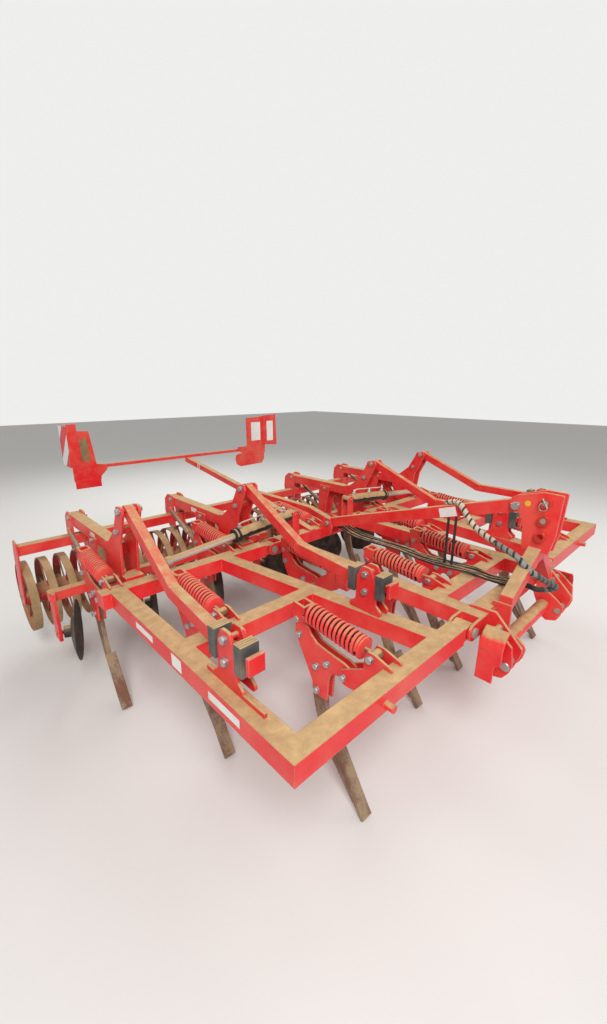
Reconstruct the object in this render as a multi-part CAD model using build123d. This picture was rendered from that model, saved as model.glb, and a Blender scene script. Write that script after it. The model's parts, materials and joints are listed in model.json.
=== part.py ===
from build123d import *
import math
import os

# Folding three-row stubble cultivator and subsoiler on a three-point hitch.
# Millimetres. X is the machine's left, Y runs to the rear, Z is up.
# It is drawn with y = 0 at the front face of the front beam, and kept with the origin on the floor
# below the middle of the whole machine.

# Frame
FRAME_TOP = 1000.0          # top of the square tubes above the tine points
TUBE = 100.0                # square tube of the frame
FRAME_HALF = 1900.0         # middle of the machine to the outer face of a wing
ROW_FRONT = 0.0             # front faces of the beams that carry the tine rows
ROW_CENTRE = 250.0
ROW_MIDDLE = 830.0
ROW_REAR = 1680.0
CENTRE_RAIL_X = 480.0       # fore-and-aft tubes of the centre frame
HINGE_X = 615.0             # fold pins
HINGE_RADIUS = 45.0
HINGE_PIN_RADIUS = 17.0
HINGE_LUG = 15.0            # thickness of a hinge lug plate
MOVING_GAP = 5.0            # between pieces that move past each other
SEAT_GAP = 0.3              # between pieces of different bodies that bear on each other
WING_RAIL_FRONT_X = 850.0   # slanted inner tube of a wing, at its front end
WING_RAIL_REAR_X = 1065.0
WING_FRONT_END = 690.0      # inner end of a wing's front tube
WING_REAR_OVERHANG = 53.0   # rear tube past the outer face

# Tines
TINE_PITCH = 308.0
BRACKET_PLATE = 12.0
BRACKET_HALF = 42.0         # outer face of a bracket plate from the tine's middle
CARRIER_PLATE = 12.0
CARRIER_HALF = 27.0
LEG_THICKNESS = 30.0
SHARE_WIDTH = 70.0
SPRING_RADIUS = 60.0
SPRING_WIRE = 20.0
SPRING_TURNS = 12
SPRING_FLATS = 8            # flats in a turn
SPRING_ROD_RADIUS = 11.0
SPRING_NUT = 18.0
BOLT_RADIUS = 12.0
CARRIER_BOLTS = ((677.0, 3.0), (663.0, -87.0), (532.0, -222.0), (454.0, -169.0), (526.0, -370.0))
SPRING_SEAT_HALF = 40.0
SPRING_SEAT_HEIGHT = 94.0
SPRING_SEAT_DEPTH = 84.0
SPRING_SEAT_DROP = 9.0       # middle of the seat below the spring's line
SPRING_SEAT_WALL = 14.0
SPRING_CUP = 12.0
TINE_PIVOT = (330.0, -175.0)      # from the beam's front face and the frame's top
SPRING_FRONT = (247.0, 19.0)
SPRING_REAR = (620.0, 55.0)
SPRING_EYE = (172.0, 12.0)
SPRING_EYE_RADIUS = 26.0
TINE_PIN_RADIUS = 14.0

# Hitch
MAST_HALF = 47.0            # outer face of a mast plate from the middle
MAST_PLATE = 15.0
MAST_LEG = 72.0
MAST_HEAD = (-75.0, 285.0)        # where the legs meet under the plates
MAST_FOOT = (-52.0, 30.0)         # where the legs meet the inner hitch plates
TOP_LINK_HOLE_RADIUS = 16.0
TOP_LINK_HOLES = ((-99.0, 583.0), (-102.0, 479.0), (-98.0, 380.0))
LOWER_LINK_X = 482.5        # lower hitch points, category 3
LOWER_LINK_PIN_RADIUS = 18.3
LOWER_LINK_GAP = 70.0       # inside a lower clevis
LOWER_PLATE = 20.0
LOWER_LINK_HOLE = (-166.0, -222.0)
LOWER_PIN = (-82.0, -58.0)        # second pin of the clevis
LOWER_CHEEK = 15.0          # outer plate of the clevis
HITCH_INNER_X = 332.5       # inner hitch plates, where the legs and the cross pipe end
GUARD_PLATE = 10.0
GUARD_FRONT = -168.0
GUARD_REAR = -44.0
GUARD_REACH = 82.0          # guard's outer face from the outer plate
GUARD_BOTTOM = -305.0
CROSS_PIPE = (-75.0, -215.0)
CROSS_PIPE_RADIUS = 42.0
STUB_X = 1385.0             # round stubs on the wings' front tubes
STUB_Z = -60.0
STUB_RADIUS = 18.0
STUB_LENGTH = 45.0
STAY = 80.0                 # square tube of the stay
STAY_FRONT = (63.0, 535.0)
STAY_REAR = (1600.0, 66.0)
STAY_PIN_RADIUS = 16.0

# Depth control
ARM_OUTER_X = 1708.0        # planes of the two roller arms of a wing
ARM_INNER_X = 798.0
BAR_SKEW = 100.0            # a depth bar's front end lies further out than its rear end
ARM_TUBE = 90.0
ARM_TOP = 190.0
ARM_FRONT = 2000.0
ARM_REAR = 3070.0
RISER_PLATE = 15.0
RISER_HALF = ARM_TUBE / 2 + RISER_PLATE
BAR_WIDTH = 56.0
BAR_HEIGHT = 70.0
BAR_REAR = (1750.0, 480.0)
BAR_KINK = (1090.0, 190.0)
BAR_FRONT = (610.0, 175.0)
SLIDE = 40.0                # square bar that the clips sit on
SLIDE_FRONT = 335.0
BRACKET_Y = 480.0           # middle of the bracket that the slide passes through
CLIP = 11.0
CLIP_GAP = 2.0
CLIP_COUNT = 4

# Roller
ROLLER_TUBE = 80.0
ROLLER_TUBE_TOP = 20.0
ROLLER_Y = 2980.0
ROLLER_OUTER_X = 2180.0
ROLLER_INNER_X = 50.0
ROLLER_END_PLATE = 12.0
ROLLER_AXLE_Y = 3110.0
ROLLER_AXLE_Z = 525.0
RING_RADIUS = 300.0
RING_WIDTH = 60.0
RING_WALL = 12.0
RING_COUNT = 15
SPOKE_WIDTH = 36.0
SPOKE_THICKNESS = 8.0
DRUM_RADIUS = 85.0
DRUM_WALL = 8.0
DRUM_END = 12.0
ROLLER_SHAFT_RADIUS = 25.0

# Levelling discs
DISC_BEAM_Y = 2450.0
DISC_BEAM_TOP = -210.0
DISC_BEAM = 70.0
DISC_RADIUS = 230.0
DISC_THICKNESS = 6.0
DISC_DISH = 45.0
DISC_AXLE_Z = 450.0
DISC_YAW = 20.0
DISC_SPACING = 2 * TINE_PITCH
DISC_COUNT = 4
DISC_HUB_RADIUS = 45.0
DISC_AXLE_RADIUS = 15.0
DISC_AXLE_Y = 2410.0
STRUT_RADIUS = 18.0
STRUT_TOP = (2947.0, 75.0)
STRUT_FOOT = (2535.0, -130.0)

# Fold cylinders
CYLINDER_Y = ROW_REAR + TUBE / 2
BARREL_RADIUS = 45.0
ROD_RADIUS = 25.0
CYLINDER_BASE = (355.0, 185.0)    # x and height above the frame's top
CYLINDER_EYE = (1560.0, 75.0)
BARREL_LENGTH = 606.0
BARREL_FLOOR = 60.0         # from the base pin to the bottom of the bore
ROD_COLLAR = 40.0
CYLINDER_PIN_RADIUS = 15.0
EYE_RADIUS = 32.0
EYE_WIDTH = 56.0
EYE_GAP = 2.0
LUG_PLATE = 15.0

# Lights
BOOM_WIDTH = 60.0
BOOM_HEIGHT = 60.0
BOOM_LEG_X = 160.0          # the boom straddles the middle tine on two legs
BOOM_ROOT = (ROW_REAR, -20.0)
BOOM_BEND = (2050.0, 60.0)
BOOM_JOIN = (2900.0, 128.0)
BOOM_TIP = (4200.0, 329.0)
LIGHT_BAR = 36.0
LIGHT_BAR_HALF = 1060.0
BOARD_PLATE = 6.0
BOARDS = (
    # outline (x, height), window (x0, x1, z0, z1) or None, how many plates in front of the bar
    (((-1023, 335), (-1098, 262), (-1104, 222), (-1384, 230), (-1384, 405), (-1310, 410), (-1299, 776),
      (-1174, 768), (-1134, 404), (-1023, 386)), (-1280, -1198, 440, 690), 0),
    (((-1110, 147), (-1110, 240), (-1377, 240), (-1377, 147)), None, 1),
    (((-1294, 400), (-1294, 850), (-1390, 850), (-1390, 400)), None, 1),
    (((775, 418), (934, 420), (934, 816), (1240, 832), (1263, 404), (1259, 299), (908, 290), (775, 370)),
     (1019, 1185, 490, 752), 0),
    (((1226, 420), (1226, 840), (1469, 852), (1487, 400)), (1300, 1420, 470, 760), 1),
    (((723, 251), (740, 305), (787, 325), (1240, 312), (1237, 210), (1190, 150), (813, 139), (745, 175)), None, 1),
)
STRIPED_BOARD = (-1390, 385, 830, 280)    # x, bottom, top and depth of the board turned fore and aft

RIGHT = -1
LEFT = 1
nodes = {}


def node(name, solids):
    """Keep solids, one or many, under a node's name."""
    nodes.setdefault(name, [])
    nodes[name] += solids if isinstance(solids, list) else [solids]


def block(x0, x1, y0, y1, z0, z1):
    """Box between two corners, heights measured from the frame's top."""
    size = Box(abs(x1 - x0), abs(y1 - y0), abs(z1 - z0))
    return Pos((x0 + x1) / 2, (y0 + y1) / 2, FRAME_TOP + (z0 + z1) / 2) * size


def side_plane(x):
    """Fore-and-aft plane at x; its sketch axes are Y and the height above the frame's top."""
    return Plane(origin=(x, 0, FRAME_TOP), x_dir=(0, 1, 0), z_dir=(1, 0, 0))


def side_plate(outline, x, thickness, radius=0.0, holes=()):
    """Plate in a fore-and-aft plane, centred on x, with rounded corners and holes (y, z, radius)."""
    face = make_face(Polyline(*outline, close=True))
    if radius:
        face = fillet(face.vertices(), radius)
    for y, z, hole_radius in holes:
        face -= Pos(y, z) * Circle(hole_radius)
    return extrude(side_plane(x - thickness / 2) * face, thickness)


def pin_x(y, z, radius, x0, x1):
    """Round pin along X."""
    return extrude(side_plane(min(x0, x1)) * Pos(y, z) * Circle(radius), abs(x1 - x0))


def pin_y(x, z, radius, y0, y1):
    """Round pin along Y."""
    plane = Plane(origin=(x, min(y0, y1), FRAME_TOP + z), x_dir=(1, 0, 0), z_dir=(0, 1, 0))
    return extrude(plane * Circle(radius), abs(y1 - y0))


def bar_between(start, end, width, height):
    """Square-ended bar between two points in a fore-and-aft plane: (x, y, z) each."""
    run = Vector(*end) - Vector(*start)
    plane = Plane(origin=(start[0], start[1], FRAME_TOP + start[2]), x_dir=(1, 0, 0), z_dir=run)
    return extrude(plane * Rectangle(width, height), run.length)


def plan_bar(start, end, width, z0, z1):
    """Level bar between two points in plan, (x, y) each."""
    run = Vector(end[0] - start[0], end[1] - start[1], 0)
    turn = math.degrees(math.atan2(run.Y, run.X))
    middle = Pos((start[0] + end[0]) / 2, (start[1] + end[1]) / 2, FRAME_TOP + (z0 + z1) / 2)
    return middle * Rot(0, 0, turn) * Box(run.length, width, abs(z1 - z0))


# Frame

def centre_frame():
    """Two rails joined by three cross tubes, with stubs for the tines beside the fold pins."""
    rail_out = CENTRE_RAIL_X + TUBE / 2
    frame = block(-rail_out, rail_out, ROW_FRONT, ROW_FRONT + TUBE, -TUBE, 0)
    frame += block(-rail_out, rail_out, ROW_CENTRE, ROW_CENTRE + TUBE, -TUBE, 0)
    frame += block(-rail_out, rail_out, ROW_REAR, ROW_REAR + TUBE, -TUBE, 0)
    stub = 2 * TINE_PITCH + BRACKET_HALF + 20
    for side in (RIGHT, LEFT):
        inner = side * (CENTRE_RAIL_X - TUBE / 2)
        frame += block(inner, side * stub, ROW_MIDDLE, ROW_MIDDLE + TUBE, -TUBE, 0)
        frame += block(inner, side * rail_out, ROW_FRONT, ROW_REAR + TUBE, -TUBE, 0)
        for row in (ROW_FRONT, ROW_REAR):
            for y in (row - HINGE_LUG, row + TUBE):
                frame += hinge_lug(side, y)
    return frame


def hinge_lug(side, y):
    """Plate on a cross tube's face that holds one end of a fold pin."""
    inner = side * (CENTRE_RAIL_X - TUBE / 2)
    plate = block(inner, side * HINGE_X, y, y + HINGE_LUG, -TUBE, 0)
    plate += pin_y(side * HINGE_X, -TUBE / 2, TUBE / 2, y, y + HINGE_LUG)
    return plate - pin_y(side * HINGE_X, -TUBE / 2, HINGE_PIN_RADIUS, y - 1, y + HINGE_LUG + 1)


def wing_frame(side):
    """Outer rail, three cross tubes and a slanted inner rail, with the hinge bosses."""
    outer = side * FRAME_HALF
    inner_edge = side * (FRAME_HALF - TUBE)
    frame = block(outer, inner_edge, ROW_FRONT, ROW_REAR + TUBE, -TUBE, 0)
    frame += block(outer, side * WING_FRONT_END, ROW_FRONT, ROW_FRONT + TUBE, -TUBE, 0)
    frame += block(outer, side * (WING_RAIL_REAR_X - 80), ROW_MIDDLE, ROW_MIDDLE + TUBE, -TUBE, 0)
    rear_out = side * (FRAME_HALF + WING_REAR_OVERHANG)
    frame += block(rear_out, side * WING_FRONT_END, ROW_REAR, ROW_REAR + TUBE, -TUBE, 0)
    frame += plan_bar(
        (side * WING_RAIL_FRONT_X, ROW_FRONT + TUBE / 2),
        (side * WING_RAIL_REAR_X, ROW_REAR + TUBE / 2),
        TUBE, -TUBE, 0)
    for row in (ROW_FRONT, ROW_REAR):
        y0 = row + MOVING_GAP
        y1 = row + TUBE - MOVING_GAP
        frame += block(side * (WING_FRONT_END + 5), side * (HINGE_X + 20), y0, y1, -TUBE / 2 - 38, 0 - 12)
        frame += pin_y(side * HINGE_X, -TUBE / 2, HINGE_RADIUS, y0, y1)
        frame -= pin_y(side * HINGE_X, -TUBE / 2, HINGE_PIN_RADIUS + 0.1, y0 - 1, y1 + 1)
    frame += pin_y(side * STUB_X, STUB_Z, STUB_RADIUS, ROW_FRONT - STUB_LENGTH, ROW_FRONT)
    return frame


def fold_pins():
    """Four pins through the centre frame's lugs, with a head at each end."""
    pins = []
    for side in (RIGHT, LEFT):
        for row in (ROW_FRONT, ROW_REAR):
            y0 = row - HINGE_LUG
            y1 = row + TUBE + HINGE_LUG
            pin = pin_y(side * HINGE_X, -TUBE / 2, HINGE_PIN_RADIUS, y0, y1)
            pin += pin_y(side * HINGE_X, -TUBE / 2, HINGE_PIN_RADIUS + 12, y0 - 12, y0)
            pin += pin_y(side * HINGE_X, -TUBE / 2, HINGE_PIN_RADIUS + 12, y1, y1 + 12)
            pins.append(pin)
    return pins


# Tines

def tine_bracket():
    """Two plates hooked over the beam, and the cross bolts that they hold."""
    outline = (
        (45, 0), (60, 18), (150, 44), (192, 44), (206, 10), (212, -62),
        (300, -112), (352, -140), (368, -178), (352, -208), (318, -218), (250, -212), (TUBE, -130), (TUBE, 0))
    pieces = None
    for turn in (RIGHT, LEFT):
        plate = side_plate(outline, turn * (BRACKET_HALF - BRACKET_PLATE / 2), BRACKET_PLATE, radius=6)
        pieces = plate if pieces is None else pieces + plate
    pieces -= block(-99, 99, 0, TUBE, -TUBE, 0)
    for y, z in (TINE_PIVOT, SPRING_EYE):
        pieces += pin_x(y, z, TINE_PIN_RADIUS, -BRACKET_HALF - 14, BRACKET_HALF + 14)
    return pieces


def tine_carrier():
    """Two rocking plates that clamp the leg and carry the spring's rear seat."""
    outline = (
        (286, -170), (298, -128), (339, -112), (454, -101), (535, -88), (580, -55), (600, -20), (630, -10),
        (630, 80), (692, 84), (703, -80), (672, -145), (614, -245), (560, -345), (552, -404),
        (455, -404), (446, -269), (426, -216), (385, -204), (336, -212), (300, -202))
    carrier = None
    for turn in (RIGHT, LEFT):
        plate = side_plate(outline, turn * (CARRIER_HALF - CARRIER_PLATE / 2), CARRIER_PLATE, radius=5)
        plate -= pin_x(*TINE_PIVOT, TINE_PIN_RADIUS, -99, 99)
        carrier = plate if carrier is None else carrier + plate
    seat = spring_plane(SPRING_REAR)
    seat_face = Pos(0, SPRING_SEAT_DROP) * Rectangle(2 * SPRING_SEAT_HALF, SPRING_SEAT_HEIGHT)
    carrier += extrude(seat * seat_face, SPRING_SEAT_DEPTH)
    trough = Pos(0, -SPRING_SEAT_HEIGHT / 4) * Rectangle(
        2 * (SPRING_SEAT_HALF - SPRING_SEAT_WALL), SPRING_SEAT_HEIGHT)
    carrier -= extrude(seat.offset(SPRING_SEAT_WALL) * trough, SPRING_SEAT_DEPTH - 2 * SPRING_SEAT_WALL)
    carrier -= spring_rod()
    for y, z in CARRIER_BOLTS:
        carrier += pin_x(y, z, BOLT_RADIUS, -CARRIER_HALF - 12, CARRIER_HALF + 12)
    return carrier


def spring_plane(at):
    """Plane square to the spring's line at a point (y, z), facing to the rear."""
    run = Vector(0, SPRING_REAR[0] - SPRING_FRONT[0], SPRING_REAR[1] - SPRING_FRONT[1])
    return Plane(origin=(0, at[0], FRAME_TOP + at[1]), x_dir=(1, 0, 0), z_dir=run)


def nut_place():
    """Distance from the rod's eye to the nut behind the seat."""
    return math.dist(SPRING_EYE, SPRING_REAR) + SPRING_SEAT_DEPTH + SEAT_GAP


def spring_rod():
    """Rod along the spring's line, from the eye through the seat to past its nut."""
    return extrude(spring_plane(SPRING_EYE) * Circle(SPRING_ROD_RADIUS), nut_place() + 2 * SPRING_NUT)


def coil():
    """Open coil of square wire along Z, with flats for arcs, sunk a little into its front cup."""
    length = math.dist(SPRING_FRONT, SPRING_REAR) - SEAT_GAP
    half = SPRING_WIRE / 2
    pitch = (length - SPRING_WIRE + 3) / SPRING_TURNS
    rings = []
    for step in range(SPRING_TURNS * SPRING_FLATS + 1):
        turn = 2 * math.pi * step / SPRING_FLATS
        rise = half - 3 + pitch * step / SPRING_FLATS
        ring = []
        for out, up in ((-half, -half), (half, -half), (half, half), (-half, half)):
            radius = SPRING_RADIUS - half + out
            ring.append(Vector(radius * math.cos(turn), radius * math.sin(turn), rise + up))
        rings.append(ring)
    faces = [Face(Wire.make_polygon(rings[0])), Face(Wire.make_polygon(rings[-1]))]
    for here, there in zip(rings, rings[1:]):
        for i in range(4):
            j = (i + 1) % 4
            faces.append(Face(Wire.make_polygon([here[i], here[j], there[j]])))
            faces.append(Face(Wire.make_polygon([here[i], there[j], there[i]])))
    return Solid(Shell(faces))


def tine_spring():
    """Coil between its cup at the bracket's ears and the carrier's seat, on its rod."""
    spring = spring_rod()
    cup = spring_plane(SPRING_FRONT).offset(-SPRING_CUP)
    spring += extrude(cup * Circle(SPRING_RADIUS - 2), SPRING_CUP)
    eye_half = BRACKET_HALF - BRACKET_PLATE - 2
    spring += pin_x(*SPRING_EYE, SPRING_EYE_RADIUS, -eye_half, eye_half)
    spring += extrude(spring_plane(SPRING_EYE) * Rectangle(SPRING_EYE_RADIUS * 1.6, SPRING_EYE_RADIUS * 1.6), 60)
    spring -= pin_x(*SPRING_EYE, TINE_PIN_RADIUS, -99, 99)
    nut = spring_plane(SPRING_EYE).offset(nut_place())
    spring += extrude(nut * RegularPolygon(22, 6), SPRING_NUT)
    return spring + spring_plane(SPRING_FRONT) * coil()


def tine_leg():
    """Forged leg that sweeps forward to its point."""
    head = Polyline((478, -300), (425, -215), (425, -140), (562, -140))
    rear_edge = ThreePointArc((562, -140), (553, -500), (452, -735))
    foot = Polyline((452, -735), (262, -952), (210, -960))
    front_edge = ThreePointArc((210, -960), (425, -640), (478, -300))
    face = make_face([*head.edges(), rear_edge, *foot.edges(), front_edge])
    leg = extrude(side_plane(-LEG_THICKNESS / 2) * face, LEG_THICKNESS)
    for y, z in CARRIER_BOLTS:
        leg -= pin_x(y, z, BOLT_RADIUS, -99, 99)
    outline = ((380, -640), (398, -652), (250, -905), (184, -1000), (168, -985), (228, -890))
    return leg + side_plate(outline, 0, SHARE_WIDTH)


TINE_ROWS = (
    # tine numbers counted from the middle, body, front face of the beam
    ((0,), "centre", ROW_REAR),
    ((-1, 1), "centre", ROW_CENTRE),
    ((-2, 2), "centre", ROW_MIDDLE),
    ((3, 6), "wing", ROW_REAR),
    ((4,), "wing", ROW_FRONT),
    ((5,), "wing", ROW_MIDDLE),
)


def tines():
    """Every tine is a copy of one, its pieces kept by body."""
    pieces = {
        "tine_brackets_": tine_bracket(),
        "tine_carriers_": tine_carrier(),
        "tine_springs_": tine_spring(),
        "tine_legs_": tine_leg(),
    }
    for numbers, body, row in TINE_ROWS:
        for number in numbers:
            sides = ((RIGHT, "_right"), (LEFT, "_left")) if body == "wing" else ((LEFT, ""),)
            for side, suffix in sides:
                for kind, piece in pieces.items():
                    node(kind + body + suffix, Pos(side * number * TINE_PITCH, row, 0) * piece)


# Hitch

def mast():
    """Two plates with the top link's bushes, on two box legs that stand on the inner hitch plates."""
    outline = (
        (60, 602), (-77, 640), (-182, 636), (-172, 396), (-150, 280), (0, 280),
        (14, 430), (35, 490), (92, 505), (104, 545), (92, 582))
    legs = None
    for turn in (RIGHT, LEFT):
        holes = [(y, z, TOP_LINK_HOLE_RADIUS) for y, z in TOP_LINK_HOLES]
        holes.append((*STAY_FRONT, STAY_PIN_RADIUS))
        plate = side_plate(outline, turn * (MAST_HALF - MAST_PLATE / 2), MAST_PLATE, 10, holes)
        legs = plate if legs is None else legs + plate
    y, z = MAST_HEAD
    legs += block(-MAST_HALF, MAST_HALF, y - MAST_LEG / 2, y + MAST_LEG / 2, z - 60, z + 30)
    foot_x = HITCH_INNER_X - LOWER_CHEEK / 2
    for turn in (RIGHT, LEFT):
        start = Vector(turn * 12, *MAST_HEAD)
        run = Vector(turn * foot_x, *MAST_FOOT) - start
        plane = Plane(origin=start + Vector(0, 0, FRAME_TOP), x_dir=(0, 1, 0), z_dir=run)
        legs += extrude(plane * Rectangle(MAST_LEG, MAST_LEG), run.length + MAST_LEG)
        legs -= block(turn * foot_x, turn * 2 * foot_x, -300, 300, -300, 300)
    return legs


def lower_clevis(side):
    """Middle, outer and inner hitch plates in front of the frame, with a guard outside them."""
    middle = (
        (TUBE, 0), (TUBE, 12), (42, 20), (-52, 20), (-210, -140), (-211, -168), (-178, -272), (-150, -312),
        (-105, -312), (-40, -225), (-HINGE_LUG, -160), (-HINGE_LUG, 0))
    outer = (
        (-HINGE_LUG, -78), (-49, -36), (-80, -20), (-120, -42), (-186, -104), (-200, -210), (-187, -256),
        (-158, -300), (-112, -312), (-60, -240), (-HINGE_LUG, -150))
    inner = (
        (13, 0), (13, 33), (-93, 33), (-95, -112), (-150, -147), (-184, -176), (-196, -204), (-188, -255),
        (-168, -296), (-108, -316), (-72, -296), (0, -130), (0, 0))
    step = (LOWER_LINK_GAP + LOWER_PLATE) / 2
    hole = (*LOWER_LINK_HOLE, LOWER_LINK_PIN_RADIUS)
    holes = [hole, (*LOWER_PIN, LOWER_LINK_PIN_RADIUS)]
    outer_x = LOWER_LINK_X + (LOWER_LINK_GAP + LOWER_CHEEK) / 2
    clevis = side_plate(middle, side * (LOWER_LINK_X - step), LOWER_PLATE, 5, holes)
    clevis += side_plate(outer, side * outer_x, LOWER_CHEEK, 12, holes)
    clevis += side_plate(inner, side * HITCH_INNER_X, LOWER_CHEEK, holes=[hole])
    clevis -= block(side, side * 999, -HINGE_LUG, TUBE, -TUBE, 0)
    return clevis + hitch_guard(side)


def hitch_guard(side):
    """Curved plate that hangs outside the outer plate, open below for the lower link's pin."""
    root = LOWER_LINK_X + LOWER_LINK_GAP / 2 + LOWER_CHEEK
    outside = root + GUARD_REACH
    inside = outside - GUARD_PLATE
    top = -18
    face = make_face([
        ThreePointArc((root, top), (outside - 28, top - 38), (outside - 8, top - 120)),
        Line((outside - 8, top - 120), (outside, GUARD_BOTTOM)),
        Line((outside, GUARD_BOTTOM), (inside, GUARD_BOTTOM)),
        Line((inside, GUARD_BOTTOM), (inside - 8, top - 120)),
        ThreePointArc((inside - 8, top - 120), (inside - 28, top - 44), (root, top - GUARD_PLATE)),
        Line((root, top - GUARD_PLATE), (root, top)),
    ])
    end = GUARD_REAR if side == LEFT else GUARD_FRONT
    plane = Plane(origin=(0, end, FRAME_TOP), x_dir=(side, 0, 0), z_dir=(0, -side, 0))
    guard = extrude(plane * face, GUARD_REAR - GUARD_FRONT)
    y, z = LOWER_LINK_HOLE
    guard -= block(side * root, side * (outside + 9), y - 30, y + 30, GUARD_BOTTOM - 9, z)
    guard -= pin_x(y, z, 30, side * root, side * (outside + 9))
    return guard


def hitch_pins():
    """Pins in the mast's upper bushes, at the stay's ends and through the lower clevises."""
    pins = []
    for side in (RIGHT, LEFT):
        outer = LOWER_LINK_X + LOWER_LINK_GAP / 2 + LOWER_CHEEK + 12
        inner = LOWER_LINK_X - LOWER_LINK_GAP / 2 - LOWER_PLATE - 12
        pins.append(pin_x(*LOWER_PIN, LOWER_LINK_PIN_RADIUS, side * inner, side * outer))
        inner = HITCH_INNER_X - LOWER_CHEEK / 2 - 12
        pins.append(pin_x(*LOWER_LINK_HOLE, LOWER_LINK_PIN_RADIUS, side * inner, side * outer))
    for y, z in TOP_LINK_HOLES[:2]:
        pins.append(pin_x(y, z, TOP_LINK_HOLE_RADIUS, -MAST_HALF - 30, MAST_HALF + 22))
    pins.append(pin_x(*STAY_FRONT, STAY_PIN_RADIUS, -MAST_HALF - 12, MAST_HALF + 12))
    pins.append(pin_x(*STAY_REAR, STAY_PIN_RADIUS, -STAY / 2 - 30, STAY / 2 + 30))
    return pins


def cross_pipe():
    """Pipe between the inner hitch plates."""
    end = HITCH_INNER_X - LOWER_CHEEK / 2
    return pin_x(*CROSS_PIPE, CROSS_PIPE_RADIUS, -end, end)


def stay():
    """Box strut from the mast back to the rear cross tube."""
    start = (0, *STAY_FRONT)
    end = (0, *STAY_REAR)
    width = 2 * (MAST_HALF - MAST_PLATE) - 2
    strut = bar_between(start, end, width, STAY)
    for y, z in (STAY_FRONT, STAY_REAR):
        strut += pin_x(y, z, STAY / 2, -width / 2, width / 2)
        strut -= pin_x(y, z, STAY_PIN_RADIUS, -STAY, STAY)
    return strut


def stay_bracket():
    """Two plates on the rear cross tube that hold the stay's rear pin."""
    outline = ((1550, 40), (1575, 110), (1640, 112), (1715, 0), (ROW_REAR, 0), (ROW_REAR, -90), (1560, -20))
    bracket = None
    for turn in (RIGHT, LEFT):
        middle = turn * (STAY / 2 + 10)
        plate = side_plate(outline, middle, 15, 8, [(*STAY_REAR, STAY_PIN_RADIUS)])
        bracket = plate if bracket is None else bracket + plate
    return bracket - block(-99, 99, ROW_REAR, ROW_REAR + TUBE, -TUBE, 0)


# Depth control

def roller_arm(x):
    """Cranked arm: riser plates, the arm itself and the plates down to the roller's beam."""
    riser = (
        (1840, -90), (1940, -98), (2060, -80), (2110, 60), (2120, 195), (2030, 215), (1900, 320),
        (1825, 450), (1800, 505), (1720, 515), (1700, 470), (1810, 250), (1840, 60))
    tail = (
        (2930, 60), (2940, 210), (3030, 212), (3095, 160), (3110, 40), (3090, -70), (3030, -130),
        (2930, -130))
    arm = block(x - ARM_TUBE / 2, x + ARM_TUBE / 2, ARM_FRONT, ARM_REAR, ARM_TOP - ARM_TUBE, ARM_TOP)
    for turn in (RIGHT, LEFT):
        middle = x + turn * (RISER_HALF - RISER_PLATE / 2)
        holes = [(*BAR_REAR, 14)]
        arm += side_plate(riser, middle, RISER_PLATE, 14, holes)
        tail_middle = x + turn * (ARM_TUBE / 2 + RISER_PLATE / 2)
        arm += side_plate(tail, tail_middle, RISER_PLATE, 25)
    arm -= block(x - 99, x + 99, ROLLER_Y - ROLLER_TUBE / 2, ROLLER_Y + ROLLER_TUBE / 2,
                 ROLLER_TUBE_TOP - ROLLER_TUBE, ROLLER_TUBE_TOP)
    arm += block(x - RISER_HALF, x + RISER_HALF, ROW_REAR + TUBE, 1900, -80, 20)
    arm += pin_x(1835, 330, 24, x - RISER_HALF, x + RISER_HALF)
    return arm


def depth_bar(arm_x, x):
    """Dog-legged bar from the riser's top at arm_x to the slide at x that the clips sit on."""
    share = (BAR_REAR[0] - BAR_KINK[0]) / (BAR_REAR[0] - BAR_FRONT[0])
    kink_x = arm_x + (x - arm_x) * share
    bar = bar_between((kink_x, *BAR_KINK), (arm_x, *BAR_REAR), BAR_WIDTH, BAR_HEIGHT)
    bar += bar_between((x, *BAR_FRONT), (kink_x, *BAR_KINK), BAR_WIDTH, BAR_HEIGHT)
    bar += pin_x(*BAR_KINK, BAR_HEIGHT / 2, kink_x - BAR_WIDTH / 2, kink_x + BAR_WIDTH / 2)
    bar += pin_x(*BAR_REAR, BAR_HEIGHT / 2, arm_x - BAR_WIDTH / 2, arm_x + BAR_WIDTH / 2)
    z = BAR_FRONT[1]
    bar += block(x - SLIDE / 2, x + SLIDE / 2, SLIDE_FRONT, BAR_FRONT[0] + 10, z - SLIDE / 2, z + SLIDE / 2)
    bar += block(x - SLIDE, x + SLIDE, SLIDE_FRONT - 20, SLIDE_FRONT, z - SLIDE, z + SLIDE)
    bar += pin_x(*BAR_REAR, 14, arm_x - RISER_HALF - 12, arm_x + RISER_HALF + 12)
    return bar


def depth_bracket(x):
    """Two rounded plates on a rail that guide the slide."""
    outline = (
        (BRACKET_Y - 150, 0), (BRACKET_Y - 75, 60), (BRACKET_Y - 62, 200), (BRACKET_Y - 30, 268),
        (BRACKET_Y + 30, 268), (BRACKET_Y + 62, 200), (BRACKET_Y + 66, 60), (BRACKET_Y + 150, 0))
    bracket = None
    for turn in (RIGHT, LEFT):
        middle = x + turn * (SLIDE / 2 + 10)
        plate = side_plate(outline, middle, 14, 20)
        bracket = plate if bracket is None else bracket + plate
    if abs(x) > ARM_OUTER_X:
        foot = x + math.copysign(SLIDE / 2 + 10, x)
        bracket += block(foot - 7, foot + 7, BRACKET_Y - 250, BRACKET_Y + 165, 0, 22)
    for z in (BAR_FRONT[1] - 52, BAR_FRONT[1] + 52):
        bracket += pin_x(BRACKET_Y, z, 14, x - SLIDE / 2 - 32, x + SLIDE / 2 + 32)
    return bracket


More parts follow.
